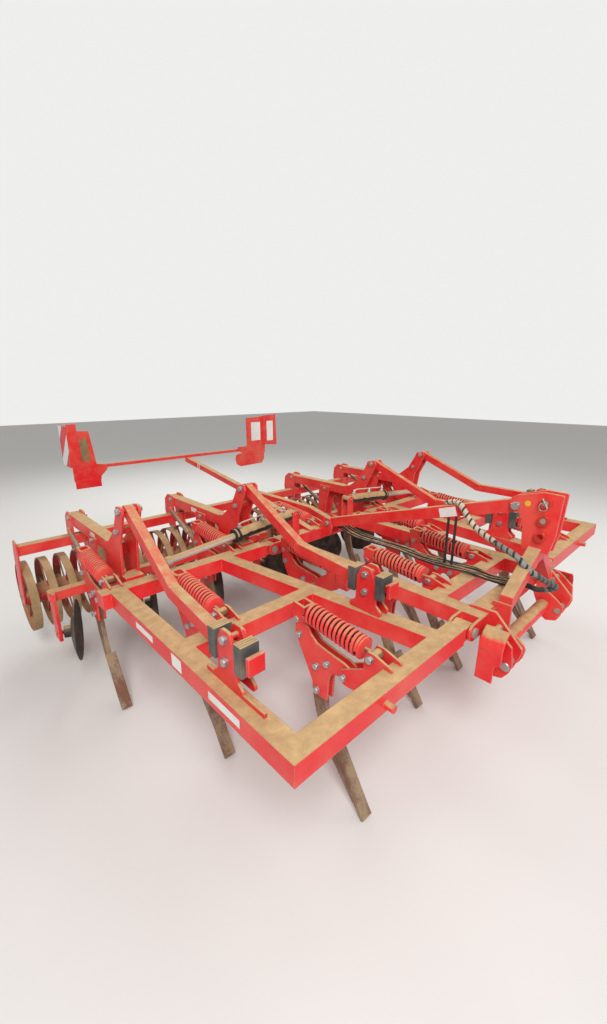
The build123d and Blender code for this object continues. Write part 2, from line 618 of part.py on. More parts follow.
def depth_clips(x):
    """Two stacks of steel clips hung on the slide, one on each side of the bracket."""
    z = BAR_FRONT[1]
    clips = []
    for direction in (-1, 1):
        for index in range(CLIP_COUNT):
            y = BRACKET_Y + direction * (66 + 4 + (CLIP + CLIP_GAP) * (index + 0.5))
            clip = block(x - 45, x + 45, y - CLIP / 2, y + CLIP / 2, z - 70, z + 70)
            clip -= block(x - SLIDE / 2, x + SLIDE / 2, y - CLIP, y + CLIP, z - 99, z + SLIDE / 2)
            clips.append(clip)
    return clips


# Roller

def roller_frame(side):
    """Beam with an end plate at each end that carries the roller's shaft."""
    frame = block(side * ROLLER_OUTER_X, side * ROLLER_INNER_X, ROLLER_Y - ROLLER_TUBE / 2,
                  ROLLER_Y + ROLLER_TUBE / 2, ROLLER_TUBE_TOP - ROLLER_TUBE, ROLLER_TUBE_TOP)
    axle = ROLLER_AXLE_Z - FRAME_TOP
    outline = (
        (ROLLER_Y - 60, 60), (ROLLER_Y + 40, 60), (ROLLER_Y + 110, -60), (ROLLER_AXLE_Y + 60, axle + 60),
        (ROLLER_AXLE_Y + 60, axle - 60), (ROLLER_AXLE_Y - 60, axle - 60), (ROLLER_Y - 60, -60))
    for x in (ROLLER_OUTER_X - ROLLER_END_PLATE / 2, ROLLER_INNER_X + ROLLER_END_PLATE / 2):
        hole = (ROLLER_AXLE_Y, axle, ROLLER_SHAFT_RADIUS + SEAT_GAP)
        frame += side_plate(outline, side * x, ROLLER_END_PLATE, 20, [hole])
    return frame


def roller(side):
    """Shaft and drum with its rings."""
    inner = ROLLER_INNER_X + ROLLER_END_PLATE + MOVING_GAP
    outer = ROLLER_OUTER_X - ROLLER_END_PLATE - MOVING_GAP
    z = ROLLER_AXLE_Z - FRAME_TOP
    drum = pin_x(ROLLER_AXLE_Y, z, DRUM_RADIUS, side * inner, side * outer)
    drum -= pin_x(ROLLER_AXLE_Y, z, DRUM_RADIUS - DRUM_WALL, side * (inner + DRUM_END), side * (outer - DRUM_END))
    for index in range(3):
        turn = 2 * math.pi * index / 3
        y = ROLLER_AXLE_Y + 52 * math.cos(turn)
        drum -= pin_x(y, z + 52 * math.sin(turn), 14, side * (inner - 1), side * (outer + 1))
    drum += pin_x(ROLLER_AXLE_Y, z, ROLLER_SHAFT_RADIUS, side * ROLLER_INNER_X, side * (inner + DRUM_END))
    drum += pin_x(ROLLER_AXLE_Y, z, ROLLER_SHAFT_RADIUS, side * ROLLER_OUTER_X, side * (outer - DRUM_END))
    pitch = (outer - inner - RING_WIDTH) / (RING_COUNT - 1)
    for index in range(RING_COUNT):
        x = side * (inner + RING_WIDTH / 2 + index * pitch)
        ring = pin_x(ROLLER_AXLE_Y, z, RING_RADIUS, x - RING_WIDTH / 2, x + RING_WIDTH / 2)
        ring -= pin_x(ROLLER_AXLE_Y, z, RING_RADIUS - RING_WALL, x - RING_WIDTH, x + RING_WIDTH)
        for turn in range(6):
            long = RING_RADIUS - RING_WALL / 2 - DRUM_RADIUS + DRUM_WALL / 2
            spoke = Pos(0, DRUM_RADIUS - DRUM_WALL / 2 + long / 2, 0) * Box(SPOKE_THICKNESS, long, SPOKE_WIDTH)
            ring += Pos(x, ROLLER_AXLE_Y, ROLLER_AXLE_Z) * Rot(60 * turn, 0, 0) * spoke
        drum += ring
    return drum


# Levelling discs

def disc_positions(side):
    """Middle of each levelling disc of one wing."""
    for index in range(DISC_COUNT):
        x = side * (TINE_PITCH / 2 + index * DISC_SPACING)
        yield index, x


def disc_frame(side):
    """Beam, its two arms to the roller arms and a hanger for each disc."""
    outer = side * (TINE_PITCH / 2 + (DISC_COUNT - 1) * DISC_SPACING + 100)
    inner = side * (TINE_PITCH / 2 - 60)
    y0 = DISC_BEAM_Y - DISC_BEAM / 2
    y1 = DISC_BEAM_Y + DISC_BEAM / 2
    frame = block(outer, inner, y0, y1, DISC_BEAM_TOP - DISC_BEAM, DISC_BEAM_TOP)
    for x in (ARM_OUTER_X, ARM_INNER_X):
        for turn in (RIGHT, LEFT):
            middle = side * x + turn * (ARM_TUBE / 2 + 7)
            outline = ((2330, 150), (2490, 150), (y1 + 25, DISC_BEAM_TOP - 60), (y0, DISC_BEAM_TOP - 60))
            plate = side_plate(outline, middle, 14, 12)
            frame += plate
        frame += disc_strut(side, side * x)
    z = DISC_AXLE_Z - FRAME_TOP
    for _, x in disc_positions(side):
        frame += block(x + side * 66, x + side * 90, DISC_AXLE_Y - 30, y1 + 10, z - 45, DISC_BEAM_TOP)
        axle = Pos(0, 0, -55) * Cylinder(DISC_AXLE_RADIUS, 90)
        frame += disc_place(side, x) * axle
    return frame


def disc_strut(side, x):
    """Adjusting strut from the outside of a roller arm's tail to its lug on the disc beam's arm."""
    middle = x + side * (RISER_HALF + STRUT_RADIUS + 2)
    start = Vector(middle, *STRUT_TOP)
    run = Vector(middle, *STRUT_FOOT) - start
    along = Plane(origin=start + Vector(0, 0, FRAME_TOP), x_dir=(1, 0, 0), z_dir=run)
    strut = along * Pos(0, 0, run.length / 2) * Cylinder(STRUT_RADIUS * 0.6, run.length)
    strut += along * Pos(0, 0, run.length / 2) * Cylinder(STRUT_RADIUS, run.length * 0.6)
    inside = x + side * (ARM_TUBE / 2 + 14)
    for y, z in (STRUT_TOP, STRUT_FOOT):
        strut += pin_x(y, z, 20, middle - 12, middle + 12)
    strut += pin_x(*STRUT_TOP, 10, x + side * RISER_HALF, middle)
    strut += pin_x(*STRUT_FOOT, 10, inside, middle)
    lug = ((2440, -90), (2560, -100), (2565, -160), (2440, -200))
    return strut + side_plate(lug, x + side * (ARM_TUBE / 2 + 7), 14)


def disc_place(side, x):
    """Where a disc stands: its axle along Z, the dish facing forward and inward."""
    return Pos(x, DISC_AXLE_Y, DISC_AXLE_Z) * Rot(0, 0, side * DISC_YAW) * Rot(0, -90 * side, 0)


def disc(side, x):
    """Dished disc with its hub."""
    dish = DISC_DISH
    sphere = (DISC_RADIUS ** 2 + dish ** 2) / (2 * dish)
    profile = make_face([
        ThreePointArc((0, 0), (DISC_RADIUS / 2, sphere - math.sqrt(sphere ** 2 - DISC_RADIUS ** 2 / 4)),
                      (DISC_RADIUS, dish)),
        Line((DISC_RADIUS, dish), (DISC_RADIUS, dish + DISC_THICKNESS)),
        ThreePointArc((DISC_RADIUS, dish + DISC_THICKNESS),
                      (DISC_RADIUS / 2, sphere - math.sqrt(sphere ** 2 - DISC_RADIUS ** 2 / 4) + DISC_THICKNESS),
                      (0, DISC_THICKNESS)),
        Line((0, DISC_THICKNESS), (0, 0)),
    ])
    dished = revolve(Plane.XZ * profile, Axis.Z)
    dished += Pos(0, 0, -20) * Cylinder(DISC_HUB_RADIUS, 50)
    dished -= Pos(0, 0, -50) * Cylinder(DISC_AXLE_RADIUS + SEAT_GAP, 85)
    return disc_place(side, x) * dished


# Fold cylinders

def cylinder_line(side):
    """Plane across the machine at the cylinder, with its axis from base to eye."""
    base = Vector(side * CYLINDER_BASE[0], CYLINDER_Y, FRAME_TOP + CYLINDER_BASE[1])
    eye = Vector(side * CYLINDER_EYE[0], CYLINDER_Y, FRAME_TOP + CYLINDER_EYE[1])
    return base, eye


def barrel(side):
    """Cylinder barrel with its base eye and gland."""
    base, eye = cylinder_line(side)
    along = Plane(origin=base, x_dir=(0, 1, 0), z_dir=eye - base)
    body = along * Pos(0, 0, 45 + (BARREL_LENGTH - 45) / 2) * Cylinder(BARREL_RADIUS, BARREL_LENGTH - 45)
    body += along * Pos(0, 0, 30) * Box(EYE_WIDTH, 50, 40)
    body += pin_y(base.X, base.Z - FRAME_TOP, EYE_RADIUS, CYLINDER_Y - EYE_WIDTH / 2, CYLINDER_Y + EYE_WIDTH / 2)
    body += along * Pos(0, 0, BARREL_LENGTH - 15) * Cylinder(BARREL_RADIUS + 6, 30)
    body -= pin_y(base.X, base.Z - FRAME_TOP, CYLINDER_PIN_RADIUS + 0.1, CYLINDER_Y - 99, CYLINDER_Y + 99)
    bore = BARREL_LENGTH - BARREL_FLOOR + 10
    body -= along * Pos(0, 0, BARREL_FLOOR + bore / 2) * Cylinder(ROD_RADIUS + SEAT_GAP, bore)
    return body


def fold_stroke():
    """How far the rod slides in when a wing folds upright."""
    lift = CYLINDER_EYE[1] + TUBE / 2
    folded = (HINGE_X - lift, CYLINDER_EYE[0] - HINGE_X - TUBE / 2)
    return math.dist(CYLINDER_BASE, CYLINDER_EYE) - math.dist(CYLINDER_BASE, folded)


def rod(side):
    """Piston rod with its eye."""
    base, eye = cylinder_line(side)
    along = Plane(origin=base, x_dir=(0, 1, 0), z_dir=eye - base)
    length = (eye - base).length
    start = BARREL_FLOOR + MOVING_GAP + fold_stroke()
    body = along * Pos(0, 0, (start + length - 12) / 2) * Cylinder(ROD_RADIUS, length - 12 - start)
    body += along * Pos(0, 0, length - EYE_RADIUS - 15 - ROD_COLLAR / 2) * Cylinder(ROD_RADIUS + 8, ROD_COLLAR)
    body += pin_y(eye.X, eye.Z - FRAME_TOP, EYE_RADIUS, CYLINDER_Y - EYE_WIDTH / 2, CYLINDER_Y + EYE_WIDTH / 2)
    return body


def cylinder_lugs(x, z, foot, open_pivot):
    """Two upright plates standing on a cross tube; the pin passes the eye unless the pivot is open."""
    lugs = None
    for turn in (-1, 1):
        y0 = CYLINDER_Y + turn * (EYE_WIDTH / 2 + EYE_GAP)
        y1 = y0 + turn * LUG_PLATE
        plate = block(x - foot, x + foot, y0, y1, 0, z)
        plate += pin_y(x, z, foot, y0, y1)
        lugs = plate if lugs is None else lugs + plate
    half = EYE_WIDTH / 2 + EYE_GAP + LUG_PLATE + 8
    pin = pin_y(x, z, CYLINDER_PIN_RADIUS, CYLINDER_Y - half, CYLINDER_Y + half)
    if open_pivot:
        inner = EYE_WIDTH / 2 + EYE_GAP
        pin -= block(x - 99, x + 99, CYLINDER_Y - inner, CYLINDER_Y + inner, z - 99, z + 99)
    return lugs + pin


# Lights

def light_boom():
    """Boom behind the centre frame with the cross bar for the boards."""
    boom = bar_between((0, *BOOM_JOIN), (0, *BOOM_TIP), BOOM_WIDTH, BOOM_HEIGHT)
    for turn in (RIGHT, LEFT):
        bend = (turn * BOOM_LEG_X, *BOOM_BEND)
        boom += bar_between((turn * BOOM_LEG_X, *BOOM_ROOT), bend, BOOM_WIDTH, BOOM_HEIGHT)
        boom += bar_between(bend, (0, *BOOM_JOIN), BOOM_WIDTH, BOOM_HEIGHT)
        boom += pin_x(*BOOM_BEND, BOOM_HEIGHT / 2, bend[0] - BOOM_WIDTH / 2, bend[0] + BOOM_WIDTH / 2)
    boom -= block(-299, 299, ROW_REAR - 99, ROW_REAR + TUBE, -TUBE, 0)
    boom -= block(-299, 299, ROW_REAR - 99, ROW_REAR, -TUBE, TUBE)
    y, z = BOOM_TIP
    bar_z = z + BOOM_HEIGHT / 2 - 6
    boom += block(-LIGHT_BAR_HALF, LIGHT_BAR_HALF, y - LIGHT_BAR, y, bar_z, bar_z + LIGHT_BAR)
    return boom


def light_boards():
    """Plates that carry the lamps at the ends of the cross bar, and the board turned fore and aft."""
    boards = []
    face_y = BOOM_TIP[0] - LIGHT_BAR
    for side in (RIGHT, LEFT):
        plates = None
        for outline, window, step in BOARDS:
            if outline[0][0] * side < 0:
                continue
            face = make_face(Polyline(*outline, close=True))
            if window:
                x0, x1, z0, z1 = window
                face -= Pos((x0 + x1) / 2, (z0 + z1) / 2) * Rectangle(x1 - x0, z1 - z0)
            front = face_y - (step + 1) * BOARD_PLATE + step * 0.5
            plane = Plane(origin=(0, front + BOARD_PLATE, FRAME_TOP), x_dir=(1, 0, 0), z_dir=(0, -1, 0))
            plate = extrude(plane * face, BOARD_PLATE)
            plates = plate if plates is None else plates + plate
        boards.append(plates)
    x, bottom, top, depth = STRIPED_BOARD
    boards[0] += block(x - BOARD_PLATE, x + 1, face_y - 12, face_y + depth, bottom, top)
    return boards


def build():
    """Build every node."""
    node("centre_frame", centre_frame())
    node("fold_pins", fold_pins())
    tines()
    node("headstock", mast())
    node("stay", stay())
    node("stay_bracket", stay_bracket())
    node("hitch_pins", hitch_pins())
    node("cross_pipe", cross_pipe())
    for side, name in ((RIGHT, "_right"), (LEFT, "_left")):
        node("lower_clevises", lower_clevis(side))
        node("wing_frame" + name, wing_frame(side))
        for x in (ARM_OUTER_X, ARM_INNER_X):
            slide_x = side * (x + BAR_SKEW)
            node("roller_arms" + name, roller_arm(side * x))
            node("depth_bars" + name, depth_bar(side * x, slide_x))
            node("depth_brackets" + name, depth_bracket(slide_x))
            node("depth_clips" + name, depth_clips(slide_x))
        node("roller_frame" + name, roller_frame(side))
        node("roller" + name, roller(side))
        node("disc_frame" + name, disc_frame(side))
        for index, x in disc_positions(side):
            node("disc" + name + "_" + str(index + 1), disc(side, x))
        node("fold_barrel" + name, barrel(side))
        node("fold_rod" + name, rod(side))
        node("cylinder_lugs_centre", cylinder_lugs(side * CYLINDER_BASE[0], CYLINDER_BASE[1], 35, False))
        node("cylinder_lugs" + name, cylinder_lugs(side * CYLINDER_EYE[0], CYLINDER_EYE[1], 35, True))
    node("light_boom", light_boom())
    node("light_boards", light_boards())


def middle_y():
    """Middle of the whole machine fore and aft."""
    boxes = [solid.bounding_box() for solids in nodes.values() for solid in solids]
    return (min(box.min.Y for box in boxes) + max(box.max.Y for box in boxes)) / 2


build()
kept = Pos(0, -middle_y(), 0)
os.makedirs("parts", exist_ok=True)
for name, solids in nodes.items():
    export_step(Compound(children=[Compound((kept * s).solids()) for s in solids]), "parts/" + name + ".step")
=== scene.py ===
"""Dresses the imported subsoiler: coil springs, bolts, hoses, boards, plates, paint and dust."""

import json
import math

import bpy
import numpy as np
from bpy.props import FloatProperty, FloatVectorProperty, IntProperty, PointerProperty
from bpy.types import Operator, Panel, PropertyGroup
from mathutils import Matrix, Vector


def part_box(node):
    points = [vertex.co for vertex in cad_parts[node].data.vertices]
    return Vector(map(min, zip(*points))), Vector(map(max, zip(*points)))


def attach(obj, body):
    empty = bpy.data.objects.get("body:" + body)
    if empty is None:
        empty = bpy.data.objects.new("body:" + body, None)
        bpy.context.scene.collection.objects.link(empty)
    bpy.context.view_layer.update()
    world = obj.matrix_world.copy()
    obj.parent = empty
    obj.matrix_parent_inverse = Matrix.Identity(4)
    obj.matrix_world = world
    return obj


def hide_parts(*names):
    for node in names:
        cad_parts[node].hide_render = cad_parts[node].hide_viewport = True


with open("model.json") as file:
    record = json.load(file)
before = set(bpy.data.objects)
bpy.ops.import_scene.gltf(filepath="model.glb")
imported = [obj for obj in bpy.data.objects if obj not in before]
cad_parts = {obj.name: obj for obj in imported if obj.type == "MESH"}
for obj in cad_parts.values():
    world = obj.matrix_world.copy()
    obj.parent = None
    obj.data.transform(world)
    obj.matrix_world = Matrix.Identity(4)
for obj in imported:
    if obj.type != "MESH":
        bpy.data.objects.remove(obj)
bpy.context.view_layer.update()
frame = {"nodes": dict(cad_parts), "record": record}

bl_info = {
    "name": "Subsoiler finish",
    "version": (1, 0, 0),
    "blender": (4, 5, 0),
    "location": "View3D > Sidebar > Subsoiler",
    "description": "Springs, fasteners, hoses, boards and farm-yard paint for the packed subsoiler",
    "category": "Object",
}

RIGHT = -1
LEFT = 1
SIDES = (RIGHT, LEFT)
WINGS = {RIGHT: "wing_right", LEFT: "wing_left"}

# Tine number counted from the middle, body, name of the beam's row.
TINES = (
    (0, "centre", "rear"),
    (1, "centre", "second"),
    (2, "centre", "middle"),
    (3, "wing", "rear"),
    (4, "wing", "front"),
    (5, "wing", "middle"),
    (6, "wing", "rear"),
)

# Nodes whose finish isn't their slot's own: start of the name, finish.
NODE_FINISHES = (("depth_clips", "clip_steel"), ("depth_bars", "swept_paint"))

# Hexagon heads: body (a wing's are mirrored), middle x of each, half of what it holds, rearward, height,
# size against a tine's bolt.
BEAM_X = (1.708, 0.798)
ARM_X = (1.808, 0.898)
FASTENERS = (
    ("centre", (0.0,), 0.0470, 0.063, 0.535, 1.30),
    ("centre", (0.0,), 0.0575, 1.600, 0.066, 1.15),
    ("wing", ARM_X, 0.037, 0.480, 0.227, 1.0),
    ("wing", ARM_X, 0.037, 0.480, 0.123, 1.0),
    ("wing", BEAM_X, 0.060, 1.750, 0.480, 1.1),
    ("wing", BEAM_X, 0.060, 1.835, 0.330, 1.0),
    ("wing", BEAM_X, 0.060, 2.045, -0.035, 1.0),
    ("wing", BEAM_X, 0.060, 2.960, 0.170, 0.9),
    ("wing", BEAM_X, 0.060, 3.055, -0.030, 0.9),
    ("wing", BEAM_X, 0.060, 2.955, -0.105, 0.9),
    ("wing", BEAM_X, 0.059, 2.400, 0.120, 0.9),
)

# Flat round ends of the lower hitch pins: outer face, rearward, height.
PIN_ENDS = ((0.5325, -0.082, -0.058), (0.5325, -0.166, -0.222))

# Bolts of one tine: rearward, height, outer face from the tine's middle.
TINE_BOLTS = (
    (0.677, 0.003, 0.027), (0.663, -0.087, 0.027), (0.532, -0.222, 0.027), (0.454, -0.169, 0.027),
    (0.526, -0.370, 0.027), (0.330, -0.175, 0.042), (0.172, 0.012, 0.042))

# Wrapped hoses: from the stay's top down past the near mast leg and back under the mast.
BUNDLE = (
    (0.022, 0.540, 0.447), (-0.004, 0.457, 0.470), (-0.050, 0.392, 0.460), (-0.074, 0.318, 0.388),
    (-0.088, 0.246, 0.338), (-0.120, 0.100, 0.288), (-0.160, -0.020, 0.262), (-0.146, -0.092, 0.196),
    (-0.090, -0.125, 0.152), (-0.015, -0.152, 0.104), (0.062, -0.182, 0.062), (0.100, -0.180, 0.026),
    (0.062, -0.148, 0.020), (0.006, -0.110, 0.026), (0.000, -0.050, 0.034), (0.004, 0.040, 0.028))

# Bare hoses on the cross tubes: sideways, rearward, height.
BARE = (
    (0.060, 1.520, 0.030), (0.052, 1.300, -0.010), (0.020, 0.875, 0.006), (-0.006, 0.660, 0.004),
    (-0.010, 0.455, 0.012), (0.006, 0.300, 0.014), (0.012, 0.180, 0.002), (0.010, 0.060, 0.012),
    (0.020, 0.015, 0.012))
BARE_STEPS = (-0.060, -0.036, -0.012, 0.020, 0.044)

# Blank decals: the face's x, four corners (rearward, height).
DECALS = (
    ("centre", -0.0312, ((0.568, 0.409), (0.550, 0.348), (0.429, 0.385), (0.450, 0.447))),
    ("wing_right", -1.9001, ((1.310, -0.030), (1.310, -0.068), (1.100, -0.068), (1.100, -0.030))),
    ("wing_right", -1.9001, ((0.886, -0.014), (0.886, -0.084), (0.790, -0.084), (0.790, -0.014))),
    ("wing_right", -1.9001, ((0.548, -0.030), (0.548, -0.070), (0.318, -0.070), (0.318, -0.030))),
    ("wing_right", -1.7531, ((2.470, 0.172), (2.470, 0.132), (2.376, 0.132), (2.376, 0.172))),
    ("wing_right", -0.8431, ((2.590, 0.166), (2.590, 0.126), (2.496, 0.126), (2.496, 0.166))),
)

# The disc beams' struts: their two ends, and how far from the middle of the machine they stand.
STRUT = ((0.0, 2.947, 0.075), (0.0, 2.535, -0.130))
STRUT_X = (0.8780, 1.7880)

# Panes in the light boards: x from and to, height from and to, rearward, whether it is the pale kind.
PANES = (
    (1.012, 1.192, 0.484, 0.758, 4.1615, True),
    (1.294, 1.426, 0.464, 0.766, 4.1560, True),
    (-1.286, -1.192, 0.434, 0.696, 4.1615, False),
)

# The striped face of the board that is turned fore and aft.
STRIPED_FACE = (
    (-1.3962, 4.155, 0.388), (-1.3962, 4.155, 0.827), (-1.3962, 4.441, 0.827), (-1.3962, 4.441, 0.388))
PANE_THICK = 0.002
DECAL_THICK = 0.0008

# Light boom: its root, its run, half its side, where the two white bands start along it, a band's width.
BOOM_ROOT = (0.0, 2.900, 0.128)
BOOM_RUN = (0.0, 1.300, 0.201)
BOOM_HALF = 0.0307
BANDS = (0.950, 0.985)
BAND_WIDTH = 0.014

# Mast: outer face of its plates, bushes (rearward, height), linch pin in the upper one, round label.
PLATE_FACE = 0.047
BUSHES = ((-0.099, 0.583), (-0.102, 0.479), (-0.098, 0.380))
LINCH_PIN = (-0.078, -0.099, 0.583)
LINCH_RING = 0.022
LABEL_PLACE = (-0.047, 0.000, 0.560)

# Shares of the bundle's length: piece and finish, from, to.
WRAPS = (("hose_wrap", 0.0, 0.36), ("hose_wrap_middle", 0.36, 0.60), ("hose_wrap_low", 0.60, 0.86))

# Straps on the stay's near face: how far back, middle x, lower end. The stay's top: front end, fall a metre.
STRAPS = (0.435, 0.488)
STRAP_X = -0.028
STRAP_LOW = 0.020
STAY_Y, STAY_Z, STAY_FALL = 0.063, 0.494, 0.305

# Fold cylinder at rest: base pin and rod eye. Then, along it from the base pin: gland rings with their
# radius, ports, and the pipe with its height over the cylinder's middle line.
CYLINDER = ((0.355, 1.730, 0.185), (1.560, 1.730, 0.075))
GLANDS = ((0.560, 0.050), (0.573, 0.053), (0.597, 0.053))
BARREL = 0.046
PORTS = (0.095, 0.330, 0.545)
PORT_FOOT = 0.044
PIPE = (
    (0.095, 0.076), (0.130, 0.090), (0.230, 0.088), (0.330, 0.088), (0.430, 0.086), (0.520, 0.084),
    (0.545, 0.072))

# Profiles that are turned about an axis: along it, radius. The sleeve's length is 1.
SPRING_CUP = (
    (-0.012, 0.001), (-0.012, 0.052), (-0.008, 0.058), (0.0, 0.058), (0.0, 0.040), (0.008, 0.034),
    (0.008, 0.001))
ROD_EYE = (
    (-0.0275, 0.0145), (-0.0275, 0.024), (-0.0255, 0.026), (0.0255, 0.026), (0.0275, 0.024), (0.0275, 0.0145))
PIN_END = ((0.0, 0.026), (0.006, 0.026), (0.008, 0.024), (0.008, 0.0005))
BUSH = ((0.0, 0.0165), (0.0, 0.032), (0.024, 0.032), (0.026, 0.030), (0.026, 0.018), (0.024, 0.0165))
LABEL = ((0.0, 0.017), (0.0008, 0.0165), (0.0008, 0.0005))
PORT = ((0.0, 0.0005), (0.0, 0.011), (0.040, 0.011), (0.043, 0.009), (0.043, 0.0005))
SLEEVE = ((0.0, 0.0116), (0.2, 0.0116), (0.2, 0.019), (0.8, 0.019), (0.8, 0.0116), (1.0, 0.0116))

# Dusty finishes: two of the paint's colours, each with its strength, then how far upwards a face looks that
# holds dust, how strong the film on the sides is, roughness, edge radius, and any other difference.
COATS = {
    # With "pale" given, the edges turn paler: partly rubbed paint, partly a painted highlight.
    "red_paint": ("red", 1.0, "faded", 1.0, 0.45, 0.12, 0.35, 0.006, {"chips": 0.05, "pale": 0.7}),
    "swept_paint": ("red", 1.0, "faded", 1.0, 0.66, 0.12, 0.35, 0.006, {
        "chips": 0.05, "pale": 0.7, "soft": 0.40}),
    "board_paint": ("red", 1.0, "faded", 1.0, 0.9, 0.25, 0.35, 0.006, {}),
    # The spring's coat paints shade in black on the inner side of its coil.
    "spring_paint": ("faded", 1.0, "faded", 1.0, 0.35, 0.28, 0.5, 0.001, {
        "soft": 0.6, "painted_inner_shade": True, "thick": 0.55}),
    "spring_rod": ("rust", 1.0, "dust", 0.35, 0.55, 0.30, 0.7, 0.001, {}),
    "strut_grey": ("wrap_low", 2.0, "steel", 1.0, 0.55, 0.30, 0.6, 0.001, {"thick": 0.75}),
    "clip_steel": ("wrap_low", 1.0, "wrap_low", 2.2, 0.5, 0.25, 0.5, 0.002, {}),
    "disc_steel": ("black", 1.0, "black", 2.2, 0.7, 0.22, 0.45, 0.006, {}),
    "dusty_cylinder": ("black", 1.0, "black", 2.2, 0.02, 0.05, 0.35, 0.006, {"soft": 0.12}),
    "hose_rubber": ("black", 1.0, "black", 2.2, 0.95, 0.04, 0.6, 0.001, {}),
    "hose_dusty": ("black", 1.0, "black", 2.2, 0.78, 0.10, 0.6, 0.001, {}),
    "rod_chrome": ("zinc", 1.7, "zinc", 1.2, 0.30, 0.30, 0.35, 0.006, {"metal": 0.3, "soft": 0.2}),
    "zinc_steel": ("zinc", 1.0, "zinc", 0.6, 0.60, 0.45, 0.5, 0.001, {"metal": 0.5}),
    "pane_brown": ("dust", 0.30, "dust", 0.5, 0.9, 0.5, 0.3, 0.001, {}),
    "hose_wrap": ("wrap", 1.0, "wrap", 0.7, 0.9, 0.15, 0.5, 0.001, {}),
    "hose_wrap_middle": ("wrap_middle", 1.0, "wrap_middle", 0.6, 0.9, 0.15, 0.5, 0.001, {}),
    "hose_wrap_low": ("wrap_low", 1.0, "wrap_low", 1.6, 0.95, 0.2, 0.45, 0.001, {}),
    "label_yellow": ("yellow", 1.0, "yellow", 0.9, 0.8, 0.10, 0.35, 0.001, {}),
    "plate_white": ("white", 1.0, "white", 0.9, 0.8, 0.10, 0.4, 0.001, {}),
}

# Stage: lamps (name, place, size, power), what they point at, the floor's half side, colours, world light.
LAMPS = (
    ("key", (-4.5, -5.5, 6.5), 3.0, 500.0),
    ("fill", (5.5, -4.0, 5.0), 5.0, 160.0),
    ("back", (2.0, 6.0, 6.5), 5.0, 320.0),
)
LAMP_AIM = (0.0, 0.0, 0.6)
FLOOR_HALF = 30.0
FLOOR_COLOUR = (0.70, 0.69, 0.67, 1.0)
BACKDROP = (0.86, 0.86, 0.85, 1.0)
WORLD_LIGHT = (1.0, 0.98, 0.95, 1.0)
WORLD_STRENGTH = 0.46

# Edges that turn by more than this stay sharp.
SHARP = math.radians(40.0)


def length(name, default, description):
    """A length in metres that a user may change."""
    return FloatProperty(name=name, default=default, description=description, unit="LENGTH", precision=4)


def colour(name, default, description):
    """A linear colour that a user may change."""
    return FloatVectorProperty(
        name=name, default=default, description=description, subtype="COLOR", size=3, min=0.0, max=1.0)


class FrameSizes(PropertyGroup):
    """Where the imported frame's beams, tines and rollers stand, behind the front beam's front face."""

    top: length("Frame top", 1.0, "Height of the square tubes' top faces")
    pitch: length("Tine pitch", 0.308, "Sideways step from one tine to the next")
    front: length("Front row", 0.0, "Front face of the front beam")
    second: length("Second row", 0.25, "Front face of the centre frame's second beam")
    middle: length("Middle row", 0.83, "Front face of the middle beam")
    rear: length("Rear row", 1.68, "Front face of the rear beam")
    lug: length("Hinge lug", 0.015, "How far the centre frame's lugs stand before the front beam")
    roller_y: length("Roller axle", 3.110, "The rollers' axle behind the front beam's front face")
    roller_z: length("Roller height", 0.525, "The rollers' axle above the floor")
    roller_radius: length("Roller radius", 0.3, "Outside of the rollers' rings")


class SpringSizes(PropertyGroup):
    """Coil spring of one tine, measured from its beam's front face and the frame's top."""

    front_y: length("Front end, rearward", 0.247, "Where the coil starts behind the beam's front face")
    front_z: length("Front end, height", 0.019, "Where the coil starts above the frame's top")
    rear_y: length("Rear end, rearward", 0.620, "Where the coil ends behind the beam's front face")
    rear_z: length("Rear end, height", 0.055, "Where the coil ends above the frame's top")
    eye_y: length("Eye, rearward", 0.172, "The rod's eye behind the beam's front face")
    eye_z: length("Eye, height", 0.012, "The rod's eye above the frame's top")
    radius: length("Outer radius", 0.060, "Outside of the coil")
    wire: length("Wire radius", 0.0108, "Radius of the spring wire")
    turns: IntProperty(name="Turns", default=13, min=4, description="Turns of the coil")
    rod: length("Rod radius", 0.011, "Radius of the rod through the coil")
    rod_length: length("Rod length", 0.568, "From the eye to the end of the thread")
    nut_place: length("Nut", 0.535, "From the eye to the nut behind the seat")
    nut_size: FloatProperty(
        name="Nut size", default=1.1, subtype="FACTOR", description="The rod's nut against a bolt's head")


class BoltSizes(PropertyGroup):
    """Hexagon bolts and nuts."""

    across: length("Across flats", 0.034, "Width of the hexagon between its flats")
    head: length("Head", 0.015, "Height of the head")
    washer: length("Washer", 0.0205, "Radius of the washer")
    washer_height: length("Washer thickness", 0.004, "Thickness of the washer")


class HoseSizes(PropertyGroup):
    """Hoses, their spiral wrap and the straps that hold them."""

    bundle: length("Bundle radius", 0.0165, "Radius of the wrapped hoses")
    wrap: length("Wrap thickness", 0.003, "Thickness of the spiral wrap")
    wrap_width: length("Wrap width", 0.031, "Width of the wrap's ribbon along the bundle")
    wrap_pitch: length("Wrap pitch", 0.044, "Step along the bundle in one turn of the wrap")
    single: length("Hose radius", 0.008, "Radius of one bare hose")
    pipe: length("Pipe radius", 0.006, "Radius of the cylinders' pipes")
    strap: length("Strap width", 0.016, "Width of a strap")
    wander: length("Wander", 0.010, "How far the bare hoses stray sideways from their line")


